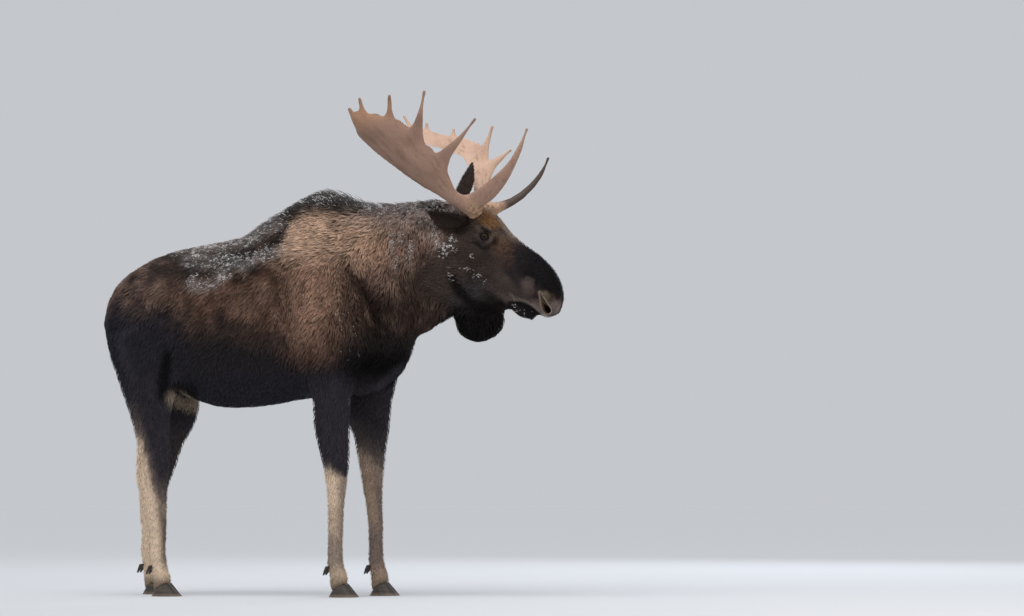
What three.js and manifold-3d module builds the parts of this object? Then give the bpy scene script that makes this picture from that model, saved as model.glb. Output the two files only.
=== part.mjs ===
// A bull moose standing at its ease, head up and a little to its right, as a still life-size model.
// Millimetres. The nose points along +X, +Y is the animal's left, +Z is up and the soles are at Z = 0.
// The flesh is shaped whole from lofts, joined, and then parted by thin cuts into its named pieces.

import * as THREE from 'three';
import { mergeVertices } from 'three/addons/utils/BufferGeometryUtils.js';
import Module from 'manifold-3d';

const wasm = await Module();
wasm.setup();

// ---------------------------------------------------------------- driving dimensions

const HUMP_HEIGHT = 2008;
const BELLY_HEIGHT = 930;
const RUMP_X = -1158;
const GAP = 0.3;

const HEAD_LENGTH = 678;
const HEAD_PITCH = 38;
const HEAD_YAW = -5;
const POLL = new THREE.Vector3(622, 0, 1800);
const EYE_RADIUS = 22;
const BELL_TOP = 1560;
const BELL_TIP = 1260;
const BELL_Y = -12;

const EAR_WIDTH = 104;
const EAR_THICKNESS = 9;

const TAIL_TOP = 1470;
const TAIL_TIP = 1330;

const HOOF_LENGTH = 150;
const HOOF_WIDTH = 58;
const HOOF_HEIGHT = 78;
const CLAW_SPREAD = 64;
const DEWCLAW_LENGTH = 46;
const DEWCLAW_SPREAD = 50;
const DEWCLAW_HEIGHT = 152;

const BURR_RADIUS = 50;
const PALM_THICKNESS = 17;
const PALM_ROUND = 8;
const PALM_RINGS = 8;
// How far the joined bone's faces may stray when slivers are merged.
const BONE_TOLERANCE = 0.5;

// Where the flesh and the antlers are parted.
const ELBOW_HEIGHT = 972;
const FLANK_HEIGHT = 965;
const BELL_HEIGHT = 1405;
const NECK_ROOT = [318, 0, 1500];
const NECK_TOP = [640, 0, 1690];
const BROW_CUT = 815;
const BROW_REACH = 255;

// Where each leg stands, how far, and between what heights, its foot is put forwards or back, and how
// far its knee is held behind that line.
const STANCE = {
  foreleg_right: { x: 66, y: -158, step: 0, from: 1600, to: 850, knee: 0 },
  foreleg_left: { x: 72, y: 150, step: 124, from: 1700, to: 900, knee: 28 },
  hindleg_right: { x: -832, y: -172, step: 0, from: 980, to: 260, knee: 0 },
  hindleg_left: { x: -832, y: 165, step: -150, from: 980, to: 260, knee: 0 },
};

const hide = (color) => new THREE.MeshStandardMaterial({ color, roughness: 0.9, metalness: 0 });
const BACK_COAT = hide('#5f483a');
const NECK_COAT = hide('#4f3c30');
const FACE_COAT = hide('#2f2826');
const DARK_COAT = hide('#1b191c');
const LEG_COAT = hide('#6d5d50');
const EYE_SHINE = new THREE.MeshStandardMaterial({ color: '#0d0a09', roughness: 0.08, metalness: 0 });
const HORN = new THREE.MeshStandardMaterial({ color: '#2a2624', roughness: 0.6, metalness: 0 });
const ANTLER_BONE = new THREE.MeshStandardMaterial({ color: '#94775f', roughness: 0.75, metalness: 0 });

// ---------------------------------------------------------------- lofts

const vector = (list) => new THREE.Vector3(...list);
const degrees = THREE.MathUtils.degToRad;

// Rows of numbers, each keyed by its first, read off smoothly at any place between them.
function stations(rows) {
  const width = rows[0].length - 1;
  const keys = rows.map((row) => row[0]);
  const values = rows.flatMap((row) => row.slice(1));
  const curve = new THREE.CubicInterpolant(keys, values, width, new Array(width));
  return (key) => Array.from(curve.evaluate(key));
}

// A closed skin whose rings are given by ring(v, angle): v runs from 0 to 1 along the piece, and the
// angle goes round it. The two ends are closed by flat fans.
function loft(around, along, ring) {
  const geometry = new THREE.CylinderGeometry(1, 1, 1, around, along);
  const spots = geometry.attributes.position;
  for (let i = 0; i < spots.count; i += 1) {
    const x = spots.getX(i);
    const z = spots.getZ(i);
    const v = spots.getY(i) + 0.5;
    const edge = ring(v, Math.atan2(x, z));
    if (Math.hypot(x, z) > 0.5) {
      spots.setXYZ(i, edge.x, edge.y, edge.z);
    } else {
      const middle = edge.add(ring(v, Math.atan2(x, z) + Math.PI)).multiplyScalar(0.5);
      spots.setXYZ(i, middle.x, middle.y, middle.z);
    }
  }
  return geometry;
}

const power = (value, exponent) => Math.sign(value) * Math.abs(value) ** exponent;

// The offset of a ring's point sideways and upwards: a superellipse whose upper half may be drawn in
// towards a ridge, as over the withers.
function section(angle, { side, up, down, ridge = 1, keel = 1 }) {
  const cos = Math.cos(angle);
  const sin = Math.sin(angle);
  return {
    across: side * power(sin, cos > 0 ? ridge : keel),
    rise: cos * (cos > 0 ? up : down),
  };
}

// ---------------------------------------------------------------- solids

function solid(geometry) {
  const bare = geometry.clone();
  bare.deleteAttribute('normal');
  bare.deleteAttribute('uv');
  const merged = mergeVertices(bare, 1e-4);
  const corners = new Uint32Array(merged.index.array);
  const kept = [];
  for (let i = 0; i < corners.length; i += 3) {
    const [a, b, c] = corners.subarray(i, i + 3);
    if (a !== b && b !== c && c !== a) {
      kept.push(a, b, c);
    }
  }
  const mesh = new wasm.Mesh({
    numProp: 3,
    vertProperties: new Float32Array(merged.attributes.position.array),
    triVerts: new Uint32Array(kept),
  });
  return new wasm.Manifold(mesh);
}

const join = (pieces) => pieces.reduce((whole, piece) => whole.add(piece));

// The same solid, grown all round its own middle by the gap that neighbours keep.
function grown(piece, gap = GAP) {
  const { min, max } = piece.boundingBox();
  const middle = min.map((low, axis) => (low + max[axis]) / 2);
  const scale = min.map((low, axis) => 1 + (2 * gap) / (max[axis] - low));
  return piece.translate(middle.map((value) => -value)).scale(scale).translate(middle);
}

function block([x0, x1], [y0, y1], [z0, z1]) {
  const geometry = new THREE.BoxGeometry(x1 - x0, y1 - y0, z1 - z0);
  return geometry.translate((x0 + x1) / 2, (y0 + y1) / 2, (z0 + z1) / 2);
}

// The part of the flesh inside a block, and the rest of it, a thin cut away.
function part(flesh, geometry) {
  const inside = solid(geometry);
  return [flesh.intersect(inside), flesh.subtract(grown(inside, GAP + 0.1))];
}

// Only the largest body of a solid, so that no crumb is left.
function largest(piece) {
  const bodies = piece.decompose();
  return bodies.sort((a, b) => b.volume() - a.volume())[0];
}

const moose = new THREE.Group();

function addNode(name, piece, material) {
  const { numProp, vertProperties, triVerts } = piece.getMesh();
  const spots = new Float32Array((vertProperties.length / numProp) * 3);
  for (let i = 0; i < spots.length / 3; i += 1) {
    spots.set(vertProperties.subarray(i * numProp, i * numProp + 3), i * 3);
  }
  const geometry = new THREE.BufferGeometry();
  geometry.setAttribute('position', new THREE.BufferAttribute(spots, 3));
  geometry.setIndex(new THREE.BufferAttribute(new Uint32Array(triVerts), 1));
  geometry.computeVertexNormals();
  const mesh = new THREE.Mesh(geometry, material);
  mesh.name = name;
  moose.add(mesh);
}

// ---------------------------------------------------------------- trunk and neck

// X, top of the back, bottom, half the width, height of the widest place, and how sharply the back
// is drawn in to a ridge.
const BARREL = stations([
  [RUMP_X, 1425, 1270, 42, 1350, 1],
  [-1128, 1512, 1165, 132, 1345, 1],
  [-1060, 1588, 1070, 200, 1345, 1.05],
  [-940, 1668, 1015, 246, 1350, 1.1],
  [-780, 1724, 1000, 268, 1350, 1.15],
  [-600, 1757, BELLY_HEIGHT + 6, 284, 1330, 1.15],
  [-410, 1802, BELLY_HEIGHT, 302, 1310, 1.2],
  [-215, 1940, 956, 304, 1330, 1.4],
  [-30, HUMP_HEIGHT, 984, 280, 1360, 1.6],
  [110, 1980, 992, 258, 1390, 1.6],
  [230, 1947, 1006, 238, 1430, 1.4],
  [330, 1942, 1085, 212, 1500, 1.2],
  [430, 1948, 1250, 186, 1590, 1.1],
  [530, 1958, 1332, 166, 1640, 1.05],
  [630, 1955, 1392, 148, 1670, 1],
  [712, 1925, 1440, 128, 1690, 1],
]);
const BARREL_END = 712;
const BARREL_ROUND = 20;
const BARREL_RINGS = 20;

// The rings lie closer together round the end of the rump.
const RUMP_SHARE = 0.2;

function trunkAndNeck() {
  return loft(BARREL_ROUND, BARREL_RINGS, (v, angle) => {
    const eased = v < RUMP_SHARE ? (v * (v + RUMP_SHARE)) / (2 * RUMP_SHARE) : v;
    const x = THREE.MathUtils.lerp(RUMP_X, BARREL_END, eased);
    const [top, bottom, side, middle, ridge] = BARREL(x);
    const shape = { side, up: top - middle, down: middle - bottom, ridge, keel: 0.92 };
    const { across, rise } = section(angle, shape);
    return new THREE.Vector3(x, -across, middle + rise);
  });
}

// ---------------------------------------------------------------- legs

// Height, back and front of the leg from the middle of its foot, half the thickness, and how far the
// leg lies outside the foot.
const FORELEG = [
  [1790, -150, 10, 30, -50],
  [1640, -205, 110, 58, 6],
  [1450, -230, 200, 84, 34],
  [1270, -215, 205, 92, 38],
  [1110, -165, 130, 86, 30],
  [985, -120, 80, 72, 20],
  [870, -121, 77, 60, 12],
  [765, -104, 73, 54, 7],
  [670, -74, 69, 52, 4],
  [592, -60, 62, 49, 2],
  [520, -52, 50, 44, 0],
  [455, -47, 43, 38, 0],
  [340, -45, 39, 34, 0],
  [250, -45, 34, 35, 0],
  [192, -56, 34, 42, 0],
  [135, -38, 45, 42, 0],
  [85, -32, 64, 51, 0],
  [28, -26, 44, 48, 0],
];

const HINDLEG = [
  [1580, -130, 70, 20, -70],
  [1485, -222, 180, 56, -6],
  [1380, -284, 225, 84, 20],
  [1240, -280, 215, 88, 24],
  [1110, -240, 150, 86, 24],
  [1000, -198, 90, 76, 18],
  [880, -152, 64, 62, 12],
  [780, -122, 57, 50, 7],
  [690, -124, 57, 47, 4],
  [620, -130, 51, 48, 2],
  [560, -123, 47, 44, 0],
  [470, -96, 43, 38, 0],
  [340, -57, 40, 34, 0],
  [250, -48, 36, 35, 0],
  [192, -58, 35, 42, 0],
  [135, -38, 46, 42, 0],
  [85, -32, 65, 51, 0],
  [28, -26, 44, 48, 0],
];
const LEG_ROUND = 10;
const LEG_RINGS = 17;

// The rings lie closer together towards the foot.
const LEG_EASE = 1.2;

const KNEE_HEIGHT = 630;
const KNEE_REACH = 210;

// A stride moves the foot forwards or back from under the body: none of it above the one height, and
// all of it below the other. The knee's share is greatest at its own height.
function stride(z, { step, from, to, knee }) {
  const near = Math.exp(-(((z - KNEE_HEIGHT) / KNEE_REACH) ** 2));
  return step * THREE.MathUtils.smoothstep(from - z, 0, from - to) - knee * near;
}

function leg(rows, stance) {
  const outward = Math.sign(stance.y);
  const profile = stations(rows.map(([z, ...rest]) => [-z, ...rest]));
  const top = rows[0][0];
  const sole = rows.at(-1)[0];
  return loft(LEG_ROUND, LEG_RINGS, (v, angle) => {
    const z = THREE.MathUtils.lerp(sole, top, v ** LEG_EASE);
    const [back, front, thick, outset] = profile(-z);
    const middle = stance.x + stride(z, stance) + (front + back) / 2;
    return new THREE.Vector3(
      middle + ((front - back) / 2) * Math.sin(angle),
      stance.y + outward * outset - thick * Math.cos(angle),
      z,
    );
  });
}

// ---------------------------------------------------------------- head

// Every piece of the head is shaped lying along +X from the poll, then pitched and turned in place.
const headPlace = new THREE.Matrix4()
  .makeRotationFromEuler(new THREE.Euler(0, degrees(HEAD_PITCH), degrees(HEAD_YAW), 'ZYX'))
  .setPosition(POLL);

// Place along the head, its top and bottom, half the width, height of the widest place and ridge.
const SKULL = stations([
  [-110, 118, -150, 96, 0, 1],
  [-20, 166, -196, 122, 0, 1],
  [70, 196, -190, 124, 30, 1.05],
  [150, 192, -180, 127, 70, 0.95],
  [215, 173, -168, 112, 62, 0.95],
  [290, 161, -140, 88, 40, 1],
  [360, 159, -108, 76, 30, 0.95],
  [430, 163, -82, 78, 30, 0.9],
  [500, 160, -72, 87, 28, 0.85],
  [560, 143, -68, 92, 22, 0.85],
  [612, 114, -62, 87, 14, 0.85],
  [652, 74, -46, 68, 10, 0.9],
  [HEAD_LENGTH, 22, -4, 18, 8, 1],
]);
const SKULL_BACK = -110;
const HEAD_ROUND = 14;
const HEAD_RINGS = 15;

// How much closer together the rings lie towards the nose.
const HEAD_EASE = 0.35;

const JAW = stations([
  [120, -60, -178, 78, -120],
  [230, -60, -164, 74, -110],
  [330, -70, -146, 60, -106],
  [420, -76, -132, 50, -102],
  [490, -78, -133, 52, -104],
  [550, -80, -126, 50, -102],
  [592, -84, -104, 30, -94],
]);
const JAW_BACK = 120;
const JAW_TIP = 592;
const JAW_ROUND = 10;
const JAW_RINGS = 8;

function skull() {
  return loft(HEAD_ROUND, HEAD_RINGS, (v, angle) => {
    const eased = THREE.MathUtils.lerp(v, Math.sin((v * Math.PI) / 2), HEAD_EASE);
    const x = THREE.MathUtils.lerp(SKULL_BACK, HEAD_LENGTH, eased);
    const [top, bottom, side, middle, ridge] = SKULL(x);
    const shape = { side, up: top - middle, down: middle - bottom, ridge, keel: 0.85 };
    const { across, rise } = section(angle, shape);
    return new THREE.Vector3(x, -across, middle + rise);
  }).applyMatrix4(headPlace);
}

function jaw() {
  return loft(JAW_ROUND, JAW_RINGS, (v, angle) => {
    const x = THREE.MathUtils.lerp(JAW_BACK, JAW_TIP, v);
    const [top, bottom, side, middle] = JAW(x);
    const shape = { side, up: top - middle, down: middle - bottom, keel: 0.9 };
    const { across, rise } = section(angle, shape);
    return new THREE.Vector3(x, -across, middle + rise);
  }).applyMatrix4(headPlace);
}

// The bell hangs from the throat: height, back, front and half the thickness.
const BELL = stations([
  [-BELL_TOP, 640, 800, 50],
  [-1480, 628, 868, 60],
  [-1420, 622, 886, 62],
  [-1350, 630, 884, 58],
  [-1300, 656, 858, 48],
  [-1272, 694, 812, 30],
  [-BELL_TIP, 725, 775, 8],
]);
const BELL_ROUND = 12;
const BELL_RINGS = 6;
const BELL_EASE = 1.2;

function bell() {
  return loft(BELL_ROUND, BELL_RINGS, (v, angle) => {
    const z = THREE.MathUtils.lerp(BELL_TIP, BELL_TOP, v ** BELL_EASE);
    const [back, front, thick] = BELL(-z);
    return new THREE.Vector3(
      (front + back) / 2 + ((front - back) / 2) * Math.sin(angle),
      BELL_Y - thick * Math.cos(angle),
      z,
    );
  });
}

// A short flat tail, held against the rump: height, middle and half the width.
const TAIL = stations([[TAIL_TIP, -1182, 16], [TAIL_TOP, -1136, 34]]);
const TAIL_ROUND = 8;
const TAIL_RINGS = 4;
const TAIL_FLATNESS = 0.6;

function tail() {
  return loft(TAIL_ROUND, TAIL_RINGS, (v, angle) => {
    const z = THREE.MathUtils.lerp(TAIL_TIP, TAIL_TOP, v);
    const [x, half] = TAIL(z);
    return new THREE.Vector3(
      x + half * TAIL_FLATNESS * Math.sin(angle),
      -half * Math.cos(angle),
      z,
    );
  });
}

// The eye looks outwards and a little forwards, on the widest part of the skull.
const EYE_SPOT = [172, 105, 84];
const EYE_ROUND = 10;
const EYE_RINGS = 6;

function eye(side, room = 0) {
  const [x, y, z] = EYE_SPOT;
  const ball = new THREE.SphereGeometry(EYE_RADIUS + room, EYE_ROUND, EYE_RINGS);
  return ball.translate(x, side * y, z).applyMatrix4(headPlace);
}

// A cupped leaf: half its width and its thickness rise and fall along it, and its edges curl round
// to the hollow side.
const EAR_OUTLINE = stations([
  [0, 26, 22],
  [0.15, 34, 24],
  [0.35, EAR_WIDTH * 0.46, EAR_THICKNESS + 2],
  [0.55, EAR_WIDTH * 0.5, EAR_THICKNESS],
  [0.75, EAR_WIDTH * 0.39, EAR_THICKNESS * 0.8],
  [0.92, EAR_WIDTH * 0.17, EAR_THICKNESS * 0.6],
  [1, 5, 3],
]);
const EAR_ROUND = 10;
const EAR_RINGS = 7;
const EAR_STALK = 0.12;
const EAR_CUP = 0.62;

function ear({ root, tip, hollow }, room = 0) {
  const along = vector(tip).sub(vector(root));
  const reach = along.length() + 2 * room;
  along.normalize();
  const start = vector(root).addScaledVector(along, -room);
  const open = vector(hollow);
  open.addScaledVector(along, -open.dot(along)).normalize();
  const across = new THREE.Vector3().crossVectors(along, open);
  return loft(EAR_ROUND, EAR_RINGS, (v, angle) => {
    const [wide, thick] = EAR_OUTLINE(v).map((size) => size + room);
    const sin = Math.sin(angle);
    const cup = v > EAR_STALK ? wide * EAR_CUP * sin * sin : 0;
    return start.clone()
      .addScaledVector(along, v * reach)
      .addScaledVector(across, wide * sin)
      .addScaledVector(open, cup + (thick / 2 + room) * Math.cos(angle));
  });
}

// ---------------------------------------------------------------- hooves

// Half of a cloven hoof, seen from above in shares of its length and width: pointed in front,
// straight along the cleft and rounded outside.
const HEEL = [-0.42, -0.3];
const CLAW_OUTLINE = [
  [[-0.1, -0.4], [0.2, -0.48]],
  [[0.45, -0.5], [0.58, -0.22]],
  [[0.42, 0.42], [0.05, 0.52]],
  [[-0.4, 0.5], HEEL],
];
const WALL_SLOPE = 0.21;
const WALL_TAPER = 0.32;
const WALL_NARROWING = 0.16;
const HEEL_DROP = 0.32;

// The wall slopes back at the toe and narrows as it rises, and is lowest at the heel.
function claw(side) {
  const sized = ([along, across]) => [along * HOOF_LENGTH, across * HOOF_WIDTH];
  const outline = new THREE.Shape();
  outline.moveTo(...sized(HEEL));
  for (const [bend, end] of CLAW_OUTLINE) {
    outline.quadraticCurveTo(...sized(bend), ...sized(end));
  }
  const settings = { depth: HOOF_HEIGHT, steps: 1, curveSegments: 3, bevelEnabled: false };
  const wall = new THREE.ExtrudeGeometry(outline, settings);
  const spots = wall.attributes.position;
  for (let i = 0; i < spots.count; i += 1) {
    const rise = spots.getZ(i) / HOOF_HEIGHT;
    const toeward = spots.getX(i) / HOOF_LENGTH - HEEL[0];
    const x = spots.getX(i) * (1 - WALL_TAPER * rise) - HOOF_LENGTH * WALL_SLOPE * rise * toeward;
    const forward = THREE.MathUtils.clamp(x / (HOOF_LENGTH * 0.3), -1, 1);
    const height = HOOF_HEIGHT * (1 - HEEL_DROP * (1 - forward));
    spots.setXYZ(i, x, spots.getY(i) * (1 - WALL_NARROWING * rise), rise * height);
  }
  if (side > 0) {
    return wall;
  }
  wall.scale(1, -1, 1);
  return flipped(wall);
}

// A mirrored mesh, with its faces turned back outwards.
function flipped(geometry) {
  const whole = geometry.index ? geometry.toNonIndexed() : geometry;
  const spots = whole.attributes.position;
  for (let i = 0; i < spots.count; i += 3) {
    const [x, y, z] = [spots.getX(i), spots.getY(i), spots.getZ(i)];
    spots.setXYZ(i, spots.getX(i + 1), spots.getY(i + 1), spots.getZ(i + 1));
    spots.setXYZ(i + 1, x, y, z);
  }
  return whole;
}

// The small claw behind the pastern, clear of the floor.
const DEWCLAW_TIP = 5;
const DEWCLAW_ROOT = 16;
const DEWCLAW_FLATNESS = 0.8;
const DEWCLAW_LEAN = 24;

function dewclaw() {
  return loft(6, 2, (v, angle) => {
    const thick = THREE.MathUtils.lerp(DEWCLAW_TIP, DEWCLAW_ROOT, Math.sqrt(v));
    return new THREE.Vector3(
      thick * DEWCLAW_FLATNESS * Math.sin(angle) - (1 - v) * DEWCLAW_LEAN,
      -thick * Math.cos(angle),
      (v - 1) * DEWCLAW_LENGTH,
    );
  });
}

// ---------------------------------------------------------------- antlers

const smoothPath = (places) => new THREE.CatmullRomCurve3(places.map(vector), false, 'centripetal');

// A flattened rod along a smooth path. Each stop is a place, the width in the blade's own plane and
// the thickness across it. The facing is the side that the blade shows.
function blade(stops, facing, room = 0, around = 8, along = 7) {
  const path = smoothPath(stops.map(([place]) => place));
  const last = stops.length - 1;
  const sizes = stations(stops.map(([, wide, thick], i) => [i / last, wide / 2, thick / 2]));
  const face = vector(facing).normalize();
  return loft(around, along, (v, angle) => {
    const heading = path.getTangent(v);
    const across = new THREE.Vector3().crossVectors(heading, face).normalize();
    const through = new THREE.Vector3().crossVectors(across, heading);
    const [wide, thick] = sizes(v);
    return path.getPoint(v)
      .addScaledVector(heading, v === 0 ? -room : 0)
      .addScaledVector(across, (wide + room) * Math.sin(angle))
      .addScaledVector(through, (thick + room) * power(Math.cos(angle), 0.8));
  });
}

// A palm is a thin dished sheet between its plain lower edge and its rim, rooted on the beam. Tines
// stand on the rim and run a little way down into the sheet.
const PALM_DEPTH = stations([
  [0, 46],
  [0.16, 28],
  [0.4, PALM_THICKNESS * 1.1],
  [0.8, PALM_THICKNESS * 0.85],
  [1, 9],
]);

function palm({ lower, rim, dish }) {
  const edges = [lower, rim].map(smoothPath);
  return loft(PALM_ROUND, PALM_RINGS, (v, angle) => {
    const [low, high] = edges.map((edge) => edge.getPoint(v));
    const middle = low.clone().add(high).multiplyScalar(0.5);
    const half = high.clone().sub(low).multiplyScalar(0.5);
    const heading = edges[0].getTangent(v).add(edges[1].getTangent(v)).normalize();
    const through = new THREE.Vector3().crossVectors(half, heading).normalize();
    const sin = Math.sin(angle);
    const bow = dish * half.length() * (1 - sin * sin) * Math.min(1, v * 3);
    const [depth] = PALM_DEPTH(v);
    return middle
      .addScaledVector(half, sin)
      .addScaledVector(through, (depth / 2) * power(Math.cos(angle), 0.6) + bow);
  });
}

const RIGHT_ANTLER = {
  side: -1,
  facing: [0.08, 0.82, 0.57],
  beam: [
    [[757, -108, 1886], 88, 84],
    [[738, -140, 1902], 86, 80],
    [[702, -181, 1922], 76, 70],
    [[660, -219, 1952], 78, 56],
    [[618, -248, 1994], 92, 38],
  ],
  lower: [
    [652, -190, 1918],
    [520, -242, 2000],
    [383, -300, 2102],
    [240, -377, 2232],
    [204, -431, 2318],
  ],
  rim: [
    [684, -234, 1966],
    [650, -326, 2106],
    [533, -405, 2235],
    [449, -449, 2311],
    [240, -462, 2358],
  ],
  dish: 0.24,
  tines: [
    [
      [[598, -300, 2077], 130, 14],
      [[660, -357, 2150], 72, 20],
      [[742, -396, 2222], 34, 23],
      [[820, -420, 2313], 8, 8],
    ],
    [
      [[498, -340, 2149], 140, 14],
      [[527, -412, 2246], 84, 20],
      [[558, -460, 2342], 34, 22],
      [[584, -486, 2446], 8, 8],
    ],
    [[[398, -380, 2220], 120, 12], [[405, -457, 2330], 46, 14], [[414, -500, 2428], 7, 6]],
    [[[290, -388, 2246], 100, 12], [[275, -457, 2346], 38, 13], [[261, -486, 2418], 7, 7]],
    [[[255, -407, 2279], 80, 12], [[216, -447, 2340], 36, 12], [[205, -462, 2370], 12, 8]],
  ],
  brow: [
    [[735, -155, 1924], 96, 54],
    [[809, -190, 1953], 102, 38],
    [[878, -214, 2008], 88, 27],
    [[945, -234, 2080], 56, 26],
    [[994, -243, 2162], 34, 25],
    [[1036, -235, 2275], 8, 9],
  ],
};

const LEFT_ANTLER = {
  side: 1,
  facing: [0.45, -0.75, 0.5],
  beam: [
    [[768, 108, 1890], 88, 84],
    [[754, 138, 1906], 86, 80],
    [[738, 178, 1930], 80, 70],
    [[722, 208, 1976], 84, 56],
    [[706, 236, 2030], 92, 38],
  ],
  lower: [
    [688, 192, 1930],
    [662, 236, 2046],
    [594, 315, 2188],
    [390, 420, 2259],
    [292, 480, 2332],
  ],
  rim: [
    [770, 215, 1975],
    [737, 270, 2067],
    [662, 400, 2258],
    [420, 510, 2327],
    [303, 525, 2361],
  ],
  dish: -0.24,
  tines: [
    [
      [[678, 330, 2172], 110, 16],
      [[697, 380, 2246], 48, 18],
      [[713, 398, 2300], 24, 17],
      [[727, 400, 2348], 7, 7],
    ],
    [
      [[701, 270, 2087], 120, 18],
      [[744, 318, 2150], 60, 22],
      [[790, 344, 2186], 32, 20],
      [[832, 350, 2223], 8, 8],
    ],
    [[[537, 430, 2253], 100, 13], [[511, 473, 2304], 36, 13], [[508, 482, 2342], 7, 7]],
    [[[401, 460, 2278], 90, 13], [[371, 508, 2326], 36, 14], [[358, 520, 2380], 7, 7]],
    [[[332, 490, 2301], 80, 13], [[266, 534, 2370], 32, 13], [[235, 545, 2420], 7, 7]],
  ],
  brow: [
    [[748, 130, 1906], 84, 58],
    [[835, 156, 1930], 54, 42],
    [[914, 182, 1975], 44, 34],
    [[981, 200, 2040], 36, 30],
    [[1026, 212, 2108], 24, 23],
    [[1050, 215, 2168], 7, 8],
  ],
};

// The middle of the burr on each side, right and left.
const BURR = { [-1]: [753, -116, 1890], 1: [764, 116, 1894] };

const BURR_RIM = 13;

// The stump of the skull, still under the skin, that carries the antler.
function pedicle(side) {
  const [x, y, z] = BURR[side];
  const root = [x + 20, y - side * 80, z - 56];
  const top = [x + 4, y - side * 4, z - 3];
  return blade([[root, 124, 100], [top, 86, 82]], [0, 0, 1], 0, 8, 2);
}

// The ring of knobbly bone where the antler leaves the skull.
function burr(side, room = 0) {
  const ring = new THREE.TorusGeometry(BURR_RADIUS - BURR_RIM, BURR_RIM + room, 6, 10);
  ring.lookAt(new THREE.Vector3(-38, side * 62, 34));
  return ring.translate(...BURR[side]);
}

const browBlade = (side, brow, room = 0) => blade(brow, [0.3, side * 0.9, -0.3], room);

function antler(shape) {
  const { side, facing, beam, tines, brow } = shape;
  const points = tines.map((stops) => blade(stops, facing, 0, 6, 3));
  const pieces = [blade(beam, facing), ...points, palm(shape), burr(side), browBlade(side, brow)];
  const reach = side > 0 ? [0, BROW_REACH] : [-BROW_REACH, 0];
  const inFront = block([BROW_CUT, BROW_CUT + 400], reach, [1800, 2400]);
  const bone = join(pieces.map(solid)).simplify(BONE_TOLERANCE);
  const [point, rest] = part(bone, inFront);
  return { palm: rest, point };
}

// ---------------------------------------------------------------- the whole animal

const SIDES = { right: -1, left: 1 };
const ANTLERS = { right: RIGHT_ANTLER, left: LEFT_ANTLER };
const EARS = {
  right: { root: [702, -100, 1838], tip: [540, -214, 1880], hollow: [-0.2, -0.75, -0.5] },
  left: { root: [576, 92, 1900], tip: [677, 152, 2144], hollow: [0.6, 0.8, 0] },
};

// How far the hoof lies before, and the dewclaw behind, the middle of the foot.
const CLAW_LEAD = 27;
const DEWCLAW_LAG = 36;

const claws = {};
const dewclaws = {};
for (const [name, stance] of Object.entries(STANCE)) {
  const x = stance.x + stride(0, stance);
  const outward = Math.sign(stance.y);
  for (const [face, side] of [['inner', -outward], ['outer', outward]]) {
    const foot = `${name}_${face}`;
    const [clawY, dewclawY] = [CLAW_SPREAD, DEWCLAW_SPREAD].map((spread) => stance.y + (side * spread) / 2);
    claws[foot] = solid(claw(side).translate(x + CLAW_LEAD, clawY, 0));
    dewclaws[foot] = solid(dewclaw().translate(x - DEWCLAW_LAG, dewclawY, DEWCLAW_HEIGHT));
  }
}

const legs = Object.entries(STANCE).map(([name, stance]) => (
  leg(name.startsWith('fore') ? FORELEG : HINDLEG, stance)
));
const body = [trunkAndNeck(), skull(), jaw(), bell(), pedicle(-1), pedicle(1), ...legs];
let flesh = join(body.map(solid));
const seats = [];
for (const piece of [...Object.values(claws), ...Object.values(dewclaws)]) {
  seats.push(grown(piece), piece.translate([0, 0, GAP]));
}
for (const side of Object.keys(SIDES)) {
  const { beam, facing, brow } = ANTLERS[side];
  seats.push(solid(blade(beam, facing, GAP)), solid(burr(SIDES[side], GAP)));
  seats.push(solid(browBlade(SIDES[side], brow, GAP)));
  seats.push(solid(eye(SIDES[side], GAP)), solid(ear(EARS[side], 2 * GAP)));
}
flesh = seats.reduce((left, seat) => left.subtract(seat), flesh);

// Each leg is parted from the trunk a little below the chest or the flank.
for (const [name, { y }] of Object.entries(STANCE)) {
  const [x0, x1, top] = name.startsWith('fore') ? [-200, 420, ELBOW_HEIGHT] : [-1200, -712, FLANK_HEIGHT];
  const reach = y < 0 ? [-400, 0] : [0, 400];
  const [limb, rest] = part(flesh, block([x0, x1], reach, [-10, top]));
  addNode(name, largest(limb), LEG_COAT);
  flesh = rest;
}

const leaning = (geometry, [x, y, z], tilt) => geometry.rotateY(degrees(tilt)).translate(x, y, z);
const [throat, upper] = part(flesh, block([560, 940], [-150, 150], [1200, BELL_HEIGHT]));
const [front, trunk] = part(upper, leaning(block([0, 1400], [-500, 500], [-900, 900]), NECK_ROOT, -8));
const [head, neck] = part(front, leaning(block([0, 900], [-500, 500], [-900, 900]), NECK_TOP, 22));
addNode('trunk', largest(trunk), BACK_COAT);
addNode('neck', largest(neck), NECK_COAT);
addNode('head', largest(head), FACE_COAT);
addNode('bell', largest(throat), DARK_COAT);
addNode('tail', largest(solid(tail()).subtract(grown(solid(trunkAndNeck())))), BACK_COAT);

for (const [foot, piece] of Object.entries(claws)) {
  addNode(`hoof_${foot}`, piece, HORN);
}
for (const [foot, piece] of Object.entries(dewclaws)) {
  addNode(`dewclaw_${foot}`, piece, HORN);
}
for (const [name, side] of Object.entries(SIDES)) {
  const bone = antler(ANTLERS[name]);
  addNode(`antler_palm_${name}`, largest(bone.palm), ANTLER_BONE);
  addNode(`antler_brow_${name}`, largest(bone.point), ANTLER_BONE);
  addNode(`ear_${name}`, solid(ear(EARS[name])), FACE_COAT);
  addNode(`eye_${name}`, solid(eye(side)), EYE_SHINE);
}

// The origin is under the middle of the whole animal, on the floor.
const box = new THREE.Box3().setFromObject(moose);
const middle = box.getCenter(new THREE.Vector3());
moose.position.set(-middle.x, -middle.y, -box.min.z);

export default moose;
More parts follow.
